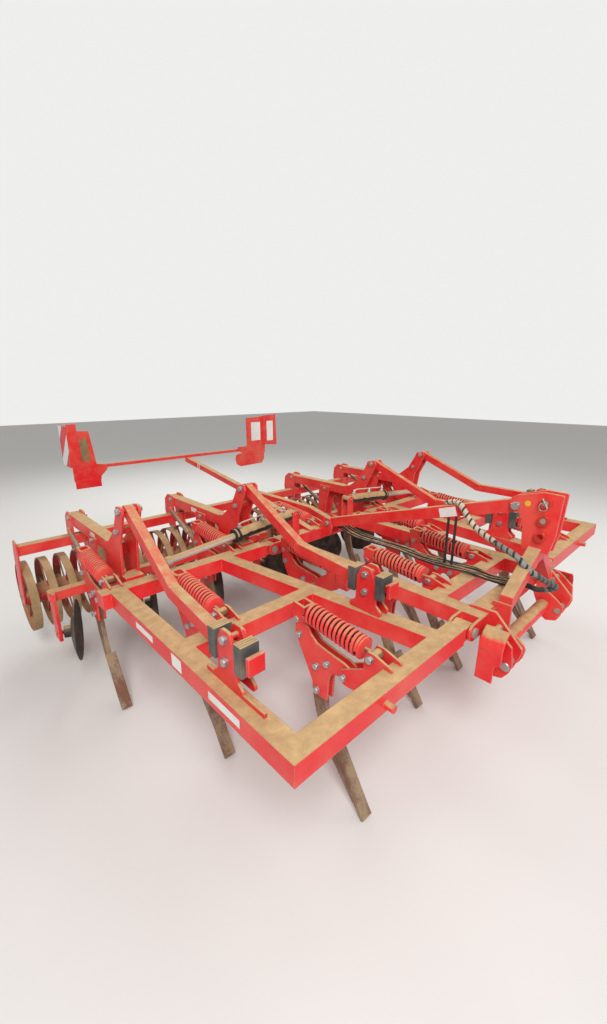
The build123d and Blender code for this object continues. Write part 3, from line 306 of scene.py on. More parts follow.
class PaintColours(PropertyGroup):
    """Colours of the paint, the dust and the worn metal."""

    red: colour("Red paint", (0.72, 0.016, 0.022), "Gloss red of the frame")
    faded: colour("Faded red", (0.78, 0.050, 0.048), "Red where the sun has bleached it")
    dust: colour("Dust", (0.50, 0.335, 0.165), "Dry soil that lies on top")
    rust: colour("Rust", (0.17, 0.065, 0.028), "Rust in chips and on bare steel")
    steel: colour("Worn steel", (0.23, 0.19, 0.155), "Steel polished dull by the soil")
    # Black is also the painted shade on the inner side of the spring coils.
    black: colour("Black", (0.014, 0.014, 0.016), "Black paint and rubber")
    yellow: colour("Yellow", (0.80, 0.50, 0.03), "Round blank label on the mast")
    zinc: colour("Zinc", (0.36, 0.36, 0.345), "Zinc plate of bolts and fittings")
    white: colour("White", (0.80, 0.80, 0.78), "Blank plates and stripes")
    wrap: colour("Wrap", (0.62, 0.55, 0.42), "Spiral wrap where the sun reaches it")
    wrap_middle: colour("Middle wrap", (0.24, 0.27, 0.26), "Spiral wrap where it darkens")
    wrap_low: colour("Low wrap", (0.055, 0.062, 0.066), "Spiral wrap at the hose ends")


class CameraPlace(PropertyGroup):
    """Where the photograph was taken from, behind the front beam's front face."""

    place: FloatVectorProperty(
        name="Place", default=(-2.624, -0.813, 2.2), size=3, subtype="TRANSLATION",
        description="Camera's place")
    pitch: FloatProperty(
        name="Pitch down", default=math.radians(16.35), subtype="ANGLE", description="Tilt below level")
    heading: FloatProperty(
        name="Heading", default=math.radians(-43.3), subtype="ANGLE",
        description="Turn from the machine's rear")
    lens: FloatProperty(
        name="Lens", default=14.625, description="Focal length in mm on a 36 mm frame's long side")


class Settings(PropertyGroup):
    """All settings of the subsoiler's finish."""

    frame: PointerProperty(type=FrameSizes)
    spring: PointerProperty(type=SpringSizes)
    bolt: PointerProperty(type=BoltSizes)
    hose: PointerProperty(type=HoseSizes)
    paint: PointerProperty(type=PaintColours)
    camera: PointerProperty(type=CameraPlace)


# Surfaces

def strip_faces(rows, columns, close_rows=False, close_columns=True):
    """Quads of a grid of points, row by row, joined to itself where it closes."""
    row = np.arange(rows if close_rows else rows - 1)
    column = np.arange(columns if close_columns else columns - 1)
    r, c = np.meshgrid(row, column, indexing="ij")
    r_next = (r + 1) % rows
    c_next = (c + 1) % columns
    here, ahead = r * columns, r_next * columns
    return np.stack((here + c, here + c_next, ahead + c_next, ahead + c), -1).reshape(-1, 4)


def lathe(profile, sides, closed=False):
    """Surface of revolution about +X: profile rows are (along, radius), and the angle runs round sides.
    A closed profile's last row joins its first."""
    profile = np.asarray(profile, float)
    angle = np.linspace(0.0, 2.0 * np.pi, sides, endpoint=False)
    along = np.repeat(profile[:, :1], sides, axis=1)
    y = profile[:, 1:] * np.cos(angle)
    z = profile[:, 1:] * np.sin(angle)
    points = np.stack((along, y, z), -1).reshape(-1, 3)
    return points, strip_faces(len(profile), sides, close_rows=closed)


def turned(points, axis):
    """Points whose +X is turned onto axis, upright side kept."""
    axis = np.asarray(axis, float) / np.linalg.norm(axis)
    side = np.cross((0.0, 0.0, 1.0), axis)
    if np.linalg.norm(side) < 1e-6:
        side = np.array((0.0, 1.0, 0.0))
    side = side / np.linalg.norm(side)
    return points @ np.stack((axis, side, np.cross(axis, side)))


def helix(start, end, radius, wire, turns, steps=26, sides=10):
    """Coil of wire from start to end: at turn t the wire is at angle 2 pi t, and the last turns close up.
    The last result is the cosine by which each point faces outward."""
    start = np.asarray(start, float)
    run = np.asarray(end, float) - start
    span = np.linalg.norm(run)
    turn = np.linspace(0.0, turns, turns * steps + 1)
    pitch = np.clip(np.minimum(turn, turns - turn), 0.0, 1.0) * 0.45 + 0.55
    along = np.concatenate(((0.0,), np.cumsum((pitch[1:] + pitch[:-1]) / 2)))
    along = wire + along / along[-1] * (span - 2 * wire)
    angle = 2.0 * np.pi * turn
    out = np.stack((np.zeros_like(angle), np.cos(angle), np.sin(angle)), -1)
    centre = out * (radius - wire)
    centre[:, 0] = along
    ring = np.linspace(0.0, 2.0 * np.pi, sides, endpoint=False)
    section = centre[:, None] + wire * (
        np.cos(ring)[None, :, None] * out[:, None] + np.sin(ring)[None, :, None] * np.array((1.0, 0.0, 0.0)))
    points = turned(section.reshape(-1, 3), run) + start
    count = len(turn)
    quads = strip_faces(count, sides)
    caps = [list(range(sides))[::-1], list(range((count - 1) * sides, count * sides))]
    return points, quads, caps, np.tile(np.cos(ring), count)


def smooth_path(points, steps=14):
    """Catmull-Rom curve through the points: with a, b, c, d four neighbours and t from 0 to 1,
    p(t) = (2b + (c - a) t + (2a - 5b + 4c - d) t^2 + (3b - a - 3c + d) t^3) / 2."""
    p = np.asarray(points, float)
    p = np.concatenate((2 * p[:1] - p[1:2], p, 2 * p[-1:] - p[-2:-1]))
    a, b, c, d = (p[i:len(p) - 3 + i, None] for i in range(4))
    t = np.linspace(0.0, 1.0, steps, endpoint=False)[None, :, None]
    curve = 2 * b + (c - a) * t + (2 * a - 5 * b + 4 * c - d) * t ** 2 + (3 * b - a - 3 * c + d) * t ** 3
    return np.concatenate((curve.reshape(-1, 3) / 2, p[-2:-1]))


def even_path(path, step):
    """The same line with its points the same distance apart, and how far along each lies."""
    far = np.concatenate(((0.0,), np.cumsum(np.linalg.norm(np.diff(path, axis=0), axis=1))))
    along = np.linspace(0.0, far[-1], max(2, int(far[-1] / step) + 1))
    return np.stack([np.interp(along, far, path[:, i]) for i in range(3)], -1), along


def round_path(path, aside=(0.31, 0.17, 0.93)):
    """Two unit sideways directions at each point of a path, square to it and to each other."""
    ahead = np.gradient(path, axis=0)
    ahead /= np.linalg.norm(ahead, axis=1)[:, None]
    first = np.cross(ahead, aside)
    first /= np.linalg.norm(first, axis=1)[:, None]
    return first, np.cross(ahead, first)


def tube(path, radius, sides=12):
    """Round tube along a path: point = path + radius (cos a first + sin a second); the ends are closed."""
    first, second = round_path(path)
    angle = np.linspace(0.0, 2.0 * np.pi, sides, endpoint=False)[None, :, None]
    points = path[:, None] + radius * (np.cos(angle) * first[:, None] + np.sin(angle) * second[:, None])
    count = len(path)
    caps = [list(range(sides))[::-1], list(range((count - 1) * sides, count * sides))]
    return points.reshape(-1, 3), strip_faces(count, sides), caps


def wrap(path, along, sizes, steps=22, bevel=0.003):
    """Ribbon wound round a path: at s along it the angle is 2 pi s / pitch, and its width lies along it."""
    count = int(along[-1] / sizes.wrap_pitch * steps)
    s = np.linspace(0.0, along[-1], count)
    half = sizes.wrap_width / 2
    section = np.array(((-half, 0.0), (-half + bevel, sizes.wrap), (half - bevel, sizes.wrap), (half, 0.0)))
    where = np.clip(s[:, None] + section[None, :, 0], 0.0, along[-1])
    first, second = round_path(path)
    centre, one, two = (
        np.stack([np.interp(where, along, line[:, i]) for i in range(3)], -1)
        for line in (path, first, second))
    angle = (2.0 * np.pi * s / sizes.wrap_pitch)[:, None, None]
    out = (sizes.bundle + section[None, :, 1])[..., None]
    points = centre + out * (np.cos(angle) * one + np.sin(angle) * two)
    return points.reshape(-1, 3), strip_faces(count, 4, close_columns=False)


def slab(corners, thickness):
    """Thin plate from its four corners in turn, thickened along its normal, with a small bevel."""
    corners = np.asarray(corners, float)
    normal = np.cross(corners[1] - corners[0], corners[2] - corners[0])
    normal /= np.linalg.norm(normal)
    bevel = min(0.3 * thickness, 0.002)
    outward = corners - corners.mean(axis=0)
    inner = corners - outward * bevel / np.linalg.norm(outward, axis=1)[:, None]
    points = np.concatenate((corners, corners + normal * thickness * 0.7, inner + normal * thickness))
    return points, strip_faces(3, 4), [(3, 2, 1, 0), (8, 9, 10, 11)]


def hexagon(sizes, sides=24, chamfer=0.002, centre=0.0005):
    """Bolt head on its washer along +X: a chamfered hexagon over a flat ring, closed on its axis."""
    angle = np.linspace(0.0, 2.0 * np.pi, sides, endpoint=False)
    fold = np.cos(np.pi / 6) / np.cos((angle + np.pi / 6) % (np.pi / 3) - np.pi / 6)
    outline = sizes.across / math.sqrt(3.0) * fold
    base = sizes.washer_height
    top = base + sizes.head
    rings = (
        (0.0, sizes.washer), (base, sizes.washer), (base, outline * 0.995), (top - chamfer, outline),
        (top, np.minimum(outline, sizes.across / 2 * 0.97)), (top, centre))
    points = np.concatenate([
        np.stack((np.full(sides, along), ring * np.cos(angle), ring * np.sin(angle)), -1)
        for along, ring in rings])
    return points, strip_faces(len(rings), sides)


def copies(points, faces, places, side):
    """The shape repeated at each place, and turned half round about the upright where side is RIGHT."""
    moved = points * (side, side, 1.0) + places[:, None]
    shift = np.arange(len(places))[:, None, None] * len(points)
    return moved.reshape(-1, 3), (faces + shift).reshape(-1, faces.shape[1])


def squared(wave, power=0.25):
    """A sine or cosine w drawn out to sign(w) |w|^power, which makes a circle nearly a square."""
    return np.sign(wave) * np.abs(wave) ** power


class Heap:
    """Points and faces gathered for one piece."""

    def __init__(self):
        self.points = []
        self.faces = []
        self.count = 0

    def add(self, points, *face_sets):
        """Adds one shape's points with its faces."""
        for faces in face_sets:
            self.faces += [[int(i) + self.count for i in face] for face in faces]
        self.points.append(np.asarray(points, float))
        self.count += len(points)

    def piece(self, name, body, finish, slot="", replaces=""):
        """Makes the piece, gives it its finish and lets it ride on its body."""
        mesh = bpy.data.meshes.new(name)
        mesh.from_pydata(np.concatenate(self.points).tolist(), [], self.faces)
        mesh.materials.append(bpy.data.materials[finish])
        mesh.validate()
        mesh.shade_smooth()
        mesh.set_sharp_from_angle(angle=SHARP)
        made = bpy.data.objects.new(name, mesh)
        bpy.context.scene.collection.objects.link(made)
        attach(made, body)
        if replaces:
            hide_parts(replaces)
        return made


# Finishes

class Mixer:
    """A material's nodes, wired by name."""

    def __init__(self, name):
        self.material = bpy.data.materials.new(name)
        self.material.use_nodes = True
        self.tree = self.material.node_tree
        self.shader = self.tree.nodes["Principled BSDF"]
        self.place = self.node("ShaderNodeTexCoord").outputs["Object"]

    def feed(self, sockets, values):
        """A link or a plain value into each socket that is named, and nothing where the value is None."""
        for key, value in values.items():
            if isinstance(value, bpy.types.NodeSocket):
                self.tree.links.new(value, sockets[key])
            elif value is not None:
                sockets[key].default_value = value

    def node(self, kind, values=None, **settings):
        """A new node with its settings, and then what goes into its sockets."""
        made = self.tree.nodes.new(kind)
        for key, value in settings.items():
            setattr(made, key, value)
        self.feed(made.inputs, values or {})
        return made

    def noise(self, scale, detail, roughness, stretch=None):
        """Noise in metres of the object's own space, 0 to 1."""
        place = self.place
        if stretch:
            place = self.node("ShaderNodeMapping", {"Vector": place, "Scale": stretch}).outputs["Vector"]
        return self.node("ShaderNodeTexNoise", {
            "Vector": place, "Scale": scale, "Detail": detail, "Roughness": roughness}).outputs["Fac"]

    def ramp(self, value, low, high, to_low=0.0, to_high=1.0):
        """Smooth step of a value from low to high."""
        return self.node("ShaderNodeMapRange", {
            "Value": value, "From Min": low, "From Max": high, "To Min": to_low, "To Max": to_high,
        }, interpolation_type="SMOOTHSTEP").outputs["Result"]

    def sums(self, operation, a, b=None):
        """One arithmetic step."""
        return self.node("ShaderNodeMath", {0: a, 1: b}, operation=operation).outputs[0]

    def plus(self, a, b):
        """a + b."""
        return self.sums("ADD", a, b)

    def times(self, a, b):
        """a b."""
        return self.sums("MULTIPLY", a, b)

    def split(self, vector):
        """A vector's X, Y and Z."""
        return self.node("ShaderNodeSeparateXYZ", {0: vector}).outputs

    def mix(self, amount, a, b):
        """Colour a where amount is 0 and b where it is 1."""
        a, b = ((*base, 1.0) if isinstance(base, tuple) else base for base in (a, b))
        return self.node("ShaderNodeMix", {0: amount, 6: a, 7: b}, data_type="RGBA").outputs[2]

    def soft_normal(self, radius):
        """Normal of the edge-rounded surface, its part along the object's own Z, and its turn at an edge."""
        normal = self.node("ShaderNodeBevel", {"Radius": radius}, samples=6).outputs["Normal"]
        flat = self.node("ShaderNodeNewGeometry").outputs["Normal"]
        dot = self.node("ShaderNodeVectorMath", {0: normal, 1: flat}, operation="DOT_PRODUCT")
        local = self.node(
            "ShaderNodeVectorTransform", {0: normal},
            vector_type="NORMAL", convert_from="WORLD", convert_to="OBJECT")
        up = self.split(local.outputs[0])["Z"]
        return normal, up, self.sums("SUBTRACT", 1.0, dot.outputs["Value"])

    def finish(self, colour_link, rough, metal=0.0, bump=None, bump_depth=0.0, normal=None, specular=0.5):
        """Wires the shader: colour, roughness, metal, and a bump over the given normal."""
        if bump is not None:
            normal = self.node("ShaderNodeBump", {
                "Strength": 0.6, "Distance": bump_depth, "Height": bump, "Normal": normal}).outputs["Normal"]
        self.feed(self.shader.inputs, {
            "Base Color": colour_link, "Roughness": rough, "Metallic": metal, "Specular IOR Level": specular,
            "Normal": normal})
        return self.material


def toned(base, strength=1.0):
    """A colour as plain numbers, darker or lighter by its strength."""
    return tuple(min(1.0, part * strength) for part in base)


def dusty(name, under, paint, dust_from, film, rough, edge, metal=0.0, chips=0.0, pale=0.0, soft=0.28,
          painted_inner_shade=False, thick=0.97):
    """Any finish under dry dust: thick where the surface faces up, a broken film on its sides, rust in
    chips, paler colour on edges that is partly rubbed paint and partly a painted highlight, and painted shade
    in black on a coil's inner side, where the piece's own attribute says that it faces inwards."""
    mixer = Mixer(name)
    normal, up, turn = mixer.soft_normal(edge)
    broad = mixer.noise(3.1, 5.0, 0.6)
    patch = mixer.noise(17.0, 6.0, 0.65)
    grain = mixer.noise(420.0, 3.0, 0.7)
    base = mixer.mix(mixer.ramp(broad, 0.35, 0.7), *under)
    # Paler edges: partly rubbed paint, partly a painted highlight where the rounded edge turns.
    if pale:
        rubbed_and_highlight = mixer.times(mixer.ramp(turn, 0.01, 0.12), pale)
        base = mixer.mix(rubbed_and_highlight, base, tuple(min(1.0, part + 0.22) for part in under[1]))
    if chips:
        spots = mixer.noise(64.0, 5.0, 0.75)
        worn = mixer.ramp(mixer.plus(spots, mixer.times(turn, 0.9)), 0.80 - chips, 0.83 - chips)
        base = mixer.mix(worn, base, toned(paint.rust))
    lifted = mixer.plus(up, mixer.times(mixer.sums("SUBTRACT", patch, 0.5), 0.55))
    top = mixer.ramp(lifted, dust_from, dust_from + soft)
    haze = mixer.times(mixer.ramp(mixer.plus(broad, mixer.times(patch, 0.5)), 0.55, 1.0), film)
    cover = mixer.sums("MAXIMUM", mixer.times(top, thick), haze)
    soil = mixer.mix(mixer.ramp(patch, 0.3, 0.75), toned(paint.dust, 0.80), toned(paint.dust, 1.12))
    colour_link = mixer.mix(cover, base, soil)
    # Painted shade: black on the coil wire's inner side, where the outward cosine is low, stands for the
    # shade between the turns.
    if painted_inner_shade:
        outward = mixer.node("ShaderNodeAttribute", attribute_name="outward").outputs["Fac"]
        colour_link = mixer.mix(mixer.ramp(outward, 0.12, 0.75, 1.0, 0.0), colour_link, toned(paint.black))
    shine = mixer.ramp(cover, 0.0, 0.8, rough, 0.95)
    height = mixer.plus(mixer.times(top, 0.8), mixer.times(mixer.times(grain, top), 0.35))
    metal_link = mixer.ramp(cover, 0.0, 0.5, metal, 0.0) if metal else 0.0
    return mixer.finish(colour_link, shine, metal_link, height, 0.0015, normal, specular=0.3)


def rolled_steel(name, paint, axle, tread):
    """Roller: dry soil on the treads, by distance from the axle, and where it faces up, else dark red."""
    mixer = Mixer(name)
    normal, up, _ = mixer.soft_normal(0.003)
    parts = mixer.split(mixer.place)
    y = mixer.sums("SUBTRACT", parts["Y"], axle[0])
    z = mixer.sums("SUBTRACT", parts["Z"], axle[1])
    far = mixer.sums("SQRT", mixer.plus(mixer.times(y, y), mixer.times(z, z)))
    broad = mixer.noise(5.0, 5.0, 0.6)
    patch = mixer.noise(24.0, 6.0, 0.7)
    treads = mixer.times(mixer.ramp(far, tread - 0.004, tread - 0.001), mixer.ramp(patch, 0.18, 0.42))
    caked = mixer.ramp(mixer.plus(mixer.times(up, 0.35), patch), 0.42, 0.72)
    cover = mixer.sums("MAXIMUM", treads, mixer.times(caked, 0.85))
    base = mixer.mix(mixer.ramp(broad, 0.4, 0.65), toned(paint.red, 0.75), toned(paint.rust))
    soil = mixer.mix(mixer.ramp(broad, 0.3, 0.75), toned(paint.dust, 0.55), toned(paint.dust, 0.92))
    shine = mixer.ramp(cover, 0.0, 0.8, 0.45, 0.95)
    return mixer.finish(mixer.mix(cover, base, soil), shine, 0.0, patch, 0.003, normal)


def striped(name, paint):
    """Stripes at 45 degrees: red where the fraction of (y + z) / 0.40 m is over 0.46, else white."""
    mixer = Mixer(name)
    parts = mixer.split(mixer.place)
    slope = mixer.sums("DIVIDE", mixer.plus(parts["Y"], parts["Z"]), 0.40)
    band = mixer.sums("GREATER_THAN", mixer.sums("FRACT", slope), 0.46)
    grime = mixer.noise(14.0, 6.0, 0.7)
    base = mixer.mix(band, toned(paint.white), toned(paint.red))
    dirty = mixer.mix(mixer.ramp(grime, 0.52, 0.85, 0.0, 0.5), base, toned(paint.dust))
    return mixer.finish(dirty, 0.4, 0.0, grime, 0.0006)


def ground_steel(name, paint):
    """Leg and point: dull soil-worn steel with rust, and dried soil in broken patches."""
    mixer = Mixer(name)
    normal, _, _ = mixer.soft_normal(0.004)
    coarse = mixer.noise(9.0, 7.0, 0.7, (1.0, 1.0, 0.45))
    fine = mixer.noise(70.0, 6.0, 0.7)
    steel = mixer.mix(mixer.ramp(coarse, 0.35, 0.62), toned(paint.rust), toned(paint.steel))
    soil = mixer.ramp(mixer.plus(mixer.times(fine, 0.5), mixer.times(coarse, 0.6)), 0.5, 0.66)
    shine = mixer.ramp(soil, 0.0, 1.0, 0.5, 0.95)
    return mixer.finish(mixer.mix(soil, steel, toned(paint.dust, 0.72)), shine, 0.0, fine, 0.004, normal)


def gathered(settings):
    """Every finish by name."""
    paint = settings.paint
    sizes = settings.frame
    made = {}
    for name, (first, one, second, two, dust_from, film, rough, edge, more) in COATS.items():
        under = (toned(getattr(paint, first), one), toned(getattr(paint, second), two))
        made[name] = dusty(name, under, paint, dust_from, film, rough, edge, **more)
    axle = (sizes.roller_y + front_face(settings), sizes.roller_z)
    made["roller_steel"] = rolled_steel("roller_steel", paint, axle, sizes.roller_radius)
    made["worn_steel"] = ground_steel("worn_steel", paint)
    made["stripes"] = striped("stripes", paint)
    return made


# Where things stand

def front_face(settings):
    """How far back the front beam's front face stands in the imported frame."""
    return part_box("centre_frame")[0][1] + settings.frame.lug


def placed(settings, points):
    """Points given from the front beam's face and the frame's top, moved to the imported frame's place."""
    return np.asarray(points, float) + (0.0, front_face(settings), settings.frame.top)


def rider(body, side):
    """The body's own name, which for a wing tells its side."""
    return body if body == "centre" else WINGS[side]


def tine_corners(settings):
    """Corners of the tines by body: middle of the tine, front face of its beam, frame's top."""
    sizes = settings.frame
    found = {}
    for number, body, row in TINES:
        beam = getattr(sizes, row) + front_face(settings)
        for side in SIDES if number else (LEFT,):
            found.setdefault(rider(body, side), []).append((side * number * sizes.pitch, beam, sizes.top))
    return {name: np.array(places) for name, places in found.items()}


# Operators

class SUBSOILER_OT_stage(Operator):
    """Floor, lamps, world and the photograph's camera"""

    bl_idname = "subsoiler.stage"
    bl_label = "Stage"

    def execute(self, context):
        scene = context.scene
        place = scene.subsoiler.camera
        data = bpy.data.cameras.new("photo_camera")
        data.lens = place.lens
        data.sensor_width = 36.0
        data.sensor_fit = "AUTO"
        data.clip_start = 0.02
        camera = bpy.data.objects.new("photo_camera", data)
        camera.location = place.place
        camera.location.y += front_face(scene.subsoiler)
        camera.rotation_euler = (math.pi / 2 - place.pitch, 0.0, place.heading)
        scene.collection.objects.link(camera)
        scene.camera = camera

        mesh = bpy.data.meshes.new("floor")
        corners = np.array(((-1, -1, 0), (1, -1, 0), (1, 1, 0), (-1, 1, 0))) * FLOOR_HALF
        mesh.from_pydata(corners.tolist(), [], [(0, 1, 2, 3)])
        mesh.materials.append(Mixer("floor_pale").finish(FLOOR_COLOUR, 0.9))
        floor = bpy.data.objects.new("floor", mesh)
        scene.collection.objects.link(floor)

        for name, spot, size, power in LAMPS:
            lamp = bpy.data.lights.new(name, "AREA")
            lamp.shape = "DISK"
            lamp.size = size
            lamp.energy = power
            made = bpy.data.objects.new(name, lamp)
            made.location = spot
            aim = np.array(LAMP_AIM) - spot
            made.rotation_euler = (
                math.atan2(math.hypot(aim[0], aim[1]), -aim[2]), 0.0, math.atan2(-aim[0], aim[1]))
            scene.collection.objects.link(made)

        world = bpy.data.worlds.new("studio")
        scene.world = world
        world.use_nodes = True
        nodes = world.node_tree.nodes
        links = world.node_tree.links
        light = nodes["Background"]
        light.inputs["Color"].default_value = WORLD_LIGHT
        light.inputs["Strength"].default_value = WORLD_STRENGTH
        seen = nodes.new("ShaderNodeBackground")
        seen.inputs["Color"].default_value = BACKDROP
        path = nodes.new("ShaderNodeLightPath")
        direct = nodes.new("ShaderNodeMath")
        direct.operation = "MAXIMUM"
        links.new(path.outputs["Is Camera Ray"], direct.inputs[0])
        links.new(path.outputs["Is Glossy Ray"], direct.inputs[1])
        choose = nodes.new("ShaderNodeMixShader")
        links.new(direct.outputs[0], choose.inputs[0])
        links.new(light.outputs[0], choose.inputs[1])
        links.new(seen.outputs[0], choose.inputs[2])
        links.new(choose.outputs[0], nodes["World Output"].inputs[0])
        scene.view_settings.view_transform = "Standard"
        return {"FINISHED"}


class SUBSOILER_OT_paint(Operator):
    """Paint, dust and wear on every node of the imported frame"""

    bl_idname = "subsoiler.paint"
    bl_label = "Paint"

    def execute(self, context):
        finishes = gathered(context.scene.subsoiler)
        slots = {part["node"]: part["material_slot"] for part in frame["record"]["subparts"]}
        for name, made in frame["nodes"].items():
            made.data.materials.clear()
            special = [finish for start, finish in NODE_FINISHES if name.startswith(start)]
            made.data.materials.append(finishes[special[0] if special else slots[name]])
        return {"FINISHED"}


class SUBSOILER_OT_springs(Operator):
    """Coil springs with their front cups, and their rods with eyes, nuts and washers"""

    bl_idname = "subsoiler.springs"
    bl_label = "Tine springs"

    def execute(self, context):
        settings = context.scene.subsoiler
        sizes = settings.spring
        start = np.array((0.0, sizes.front_y, sizes.front_z))
        end = np.array((0.0, sizes.rear_y, sizes.rear_z))
        eye = np.array((0.0, sizes.eye_y, sizes.eye_z))
        line = end - start
        ahead = line / np.linalg.norm(line)
        coil, quads, caps, outward = helix(start, end, sizes.radius, sizes.wire, sizes.turns)
        cup, cup_faces = lathe(SPRING_CUP, 40)
        cup = turned(cup, line) + start
        tip = sizes.rod_length + 0.003
        rod, rod_faces = lathe(
            ((0.0, 0.0005), (0.0, sizes.rod), (sizes.rod_length, sizes.rod), (tip, 0.008), (tip, 0.0005)), 16)
        rod = turned(rod, line) + eye
        ring, ring_faces = lathe(ROD_EYE, 32, closed=True)
        ring = ring + eye
        nut, nut_faces = hexagon(settings.bolt)
        nut = turned(nut * sizes.nut_size, line) + eye + ahead * sizes.nut_place
        for body, places in tine_corners(settings).items():
            coils = Heap()
            rods = Heap()
            for place in places:
                coils.add(coil + place, quads, caps)
                coils.add(cup + place, cup_faces)
                rods.add(rod + place, rod_faces)
                rods.add(ring + place, ring_faces)
                rods.add(nut + place, nut_faces)
            made = coils.piece("springs_" + body, body, "spring_paint", "red_paint", "tine_springs_" + body)
            # The outward cosine drives the painted shade on the coil's inner side; the cups take 1, so they
            # get no shade.
            facing = np.tile(np.concatenate((outward, np.ones(len(cup)))), len(places))
            made.data.attributes.new("outward", "FLOAT", "POINT").data.foreach_set("value", facing)
            rods.piece("spring_rods_" + body, body, "spring_rod", "worn_steel")
        return {"FINISHED"}


class SUBSOILER_OT_bolts(Operator):
    """Hexagon heads and nuts where the frame's bolts end, and the flat ends of the lower hitch pins"""

    bl_idname = "subsoiler.bolts"
    bl_label = "Bolts"

    def execute(self, context):
        settings = context.scene.subsoiler
        points, faces = hexagon(settings.bolt)
        heaps = {}
        for body, places in tine_corners(settings).items():
            heaps[body] = Heap()
            for y, z, half in TINE_BOLTS:
                for side in SIDES:
                    heaps[body].add(*copies(points, faces, places + (side * half, y, z), side))
        for body, middles, half, y, z, size in FASTENERS:
            for side in (LEFT,) if body == "centre" else SIDES:
                for face in SIDES:
                    spots = placed(settings, [(side * x + face * half, y, z) for x in middles])
                    heaps[rider(body, side)].add(*copies(points * size, faces, spots, face))
        points, faces = lathe(PIN_END, 32)
        for x, y, z in PIN_ENDS:
            for side in SIDES:
                heaps["centre"].add(*copies(points, faces, placed(settings, [(side * x, y, z)]), side))
        for body, heap in heaps.items():
            heap.piece("bolts_" + body, body, "zinc_steel", "zinc_steel")
        return {"FINISHED"}


class SUBSOILER_OT_mast(Operator):
    """Bushes on the mast's plates and the linch pin of its upper pin"""

    bl_idname = "subsoiler.mast"
    bl_label = "Mast"

    def execute(self, context):
        settings = context.scene.subsoiler
        points, faces = lathe(BUSH, 40, closed=True)
        bushes = Heap()
        for y, z in BUSHES:
            for side in SIDES:
                bushes.add(*copies(points, faces, placed(settings, [(side * PLATE_FACE, y, z)]), side))
        bushes.piece("mast_bushes", "centre", "red_paint", "red_paint")
        pins = Heap()
        centre = placed(settings, LINCH_PIN)
        turn = np.linspace(0.0, 2.0 * np.pi, 33)
        ring = np.stack((np.zeros(33), np.sin(turn), np.cos(turn) - 1.0), -1) * LINCH_RING
        pins.add(*tube(centre + ring + (0.0, 0.007, 0.0), 0.0022, 8))
        stem = np.array((0.0, 0.015, 0.026)) * np.linspace(-1.0, 1.0, 6)[:, None]
        pins.add(*tube(centre + stem, 0.0045, 12))
        pins.piece("linch_pin", "centre", "zinc_steel", "zinc_steel")
        return {"FINISHED"}


class SUBSOILER_OT_hoses(Operator):
    """Wrapped hoses at the mast, bare hoses on the cross tubes with their fittings, and straps"""

    bl_idname = "subsoiler.hoses"
    bl_label = "Hoses"

    def execute(self, context):
        settings = context.scene.subsoiler
        sizes = settings.hose
        path, along = even_path(smooth_path(placed(settings, BUNDLE)), 0.006)
        inner = Heap()
        inner.add(*tube(path, sizes.bundle, 16))
        inner.piece("hose_bundle", "centre", "hose_rubber")
        for name, low, high in WRAPS:
            part = slice(int(len(path) * low), int(len(path) * high) + 1)
            ribbon = Heap()
            ribbon.add(*wrap(path[part], along[part] - along[part][0], sizes))
            ribbon.piece(name, "centre", name)

        bare = Heap()
        ferrules = Heap()
        for index, step in enumerate(BARE_STEPS):
            line = np.array(BARE) + (step, 0.0, sizes.single)
            line[1:-1, 0] += sizes.wander * np.sin(np.arange(len(line) - 2) * 1.7 + index * 2.1)
            route, _ = even_path(smooth_path(placed(settings, line)), 0.012)
            bare.add(*tube(route, sizes.single, 12))
            run = np.linspace(line[-1] + (0.0, 0.030, 0.0), line[-1] - (0.0, 0.055, 0.0), 4)
            ferrules.add(*tube(placed(settings, run), sizes.single * 1.3, 6))
        bare.piece("bare_hoses", "centre", "hose_dusty")
        ferrules.piece("hose_fittings", "centre", "zinc_steel", "zinc_steel")

        straps = Heap()
        turn = np.linspace(0.0, 2.0 * np.pi, 60)
        half = np.array((0.0, sizes.strap / 2, 0.0))
        for y in STRAPS:
            top = STAY_Z - STAY_FALL * (y - STAY_Y)
            x = STRAP_X + 0.003 * squared(np.cos(turn))
            z = (top + STRAP_LOW) / 2 + (top - STRAP_LOW) / 2 * squared(np.sin(turn))
            loop = placed(settings, np.stack((x, np.full(60, y), z), -1))
            out = loop - loop.mean(axis=0)
            out[:, 1:] *= (0.0, 0.1)
            out *= 0.002 / (np.linalg.norm(out, axis=1)[:, None] + 1e-9)
            ring = np.stack((loop - half, loop - half + out, loop + half + out, loop + half), 1)
            straps.add(ring.reshape(-1, 3), strip_faces(60, 4))
        straps.piece("straps", "centre", "hose_rubber")
        return {"FINISHED"}


class SUBSOILER_OT_decals(Operator):
    """Blank decals, the mast's round label, and the two white bands on the light boom"""

    bl_idname = "subsoiler.decals"
    bl_label = "Decals"

    def execute(self, context):
        settings = context.scene.subsoiler
        heaps = {}
        for body, x, corners in DECALS:
            plate = placed(settings, [(x, y, z) for y, z in corners])
            heaps.setdefault(body, Heap()).add(*slab(plate, DECAL_THICK))
        run = np.array(BOOM_RUN) / math.hypot(*BOOM_RUN)
        lift = np.array((0.0, -run[2], run[1]))
        for far in BANDS:
            middle = np.array(BOOM_ROOT) + run * far
            band = placed(settings, [
                middle + BOOM_HALF * (lift * dz + (dx, 0.0, 0.0))
                for dx, dz in ((-1, -1), (-1, 1), (1, 1), (1, -1))])
            heaps["centre"].add(np.concatenate((band, band + run * BAND_WIDTH)), strip_faces(2, 4))
        label = Heap()
        points, faces = lathe(LABEL, 40)
        label.add(*copies(points, faces, placed(settings, [LABEL_PLACE]), RIGHT))
        label.piece("mast_label", "centre", "label_yellow", "board_paint")
        for body, heap in heaps.items():
            heap.piece("decals_" + body, body, "plate_white", "board_paint")
        return {"FINISHED"}


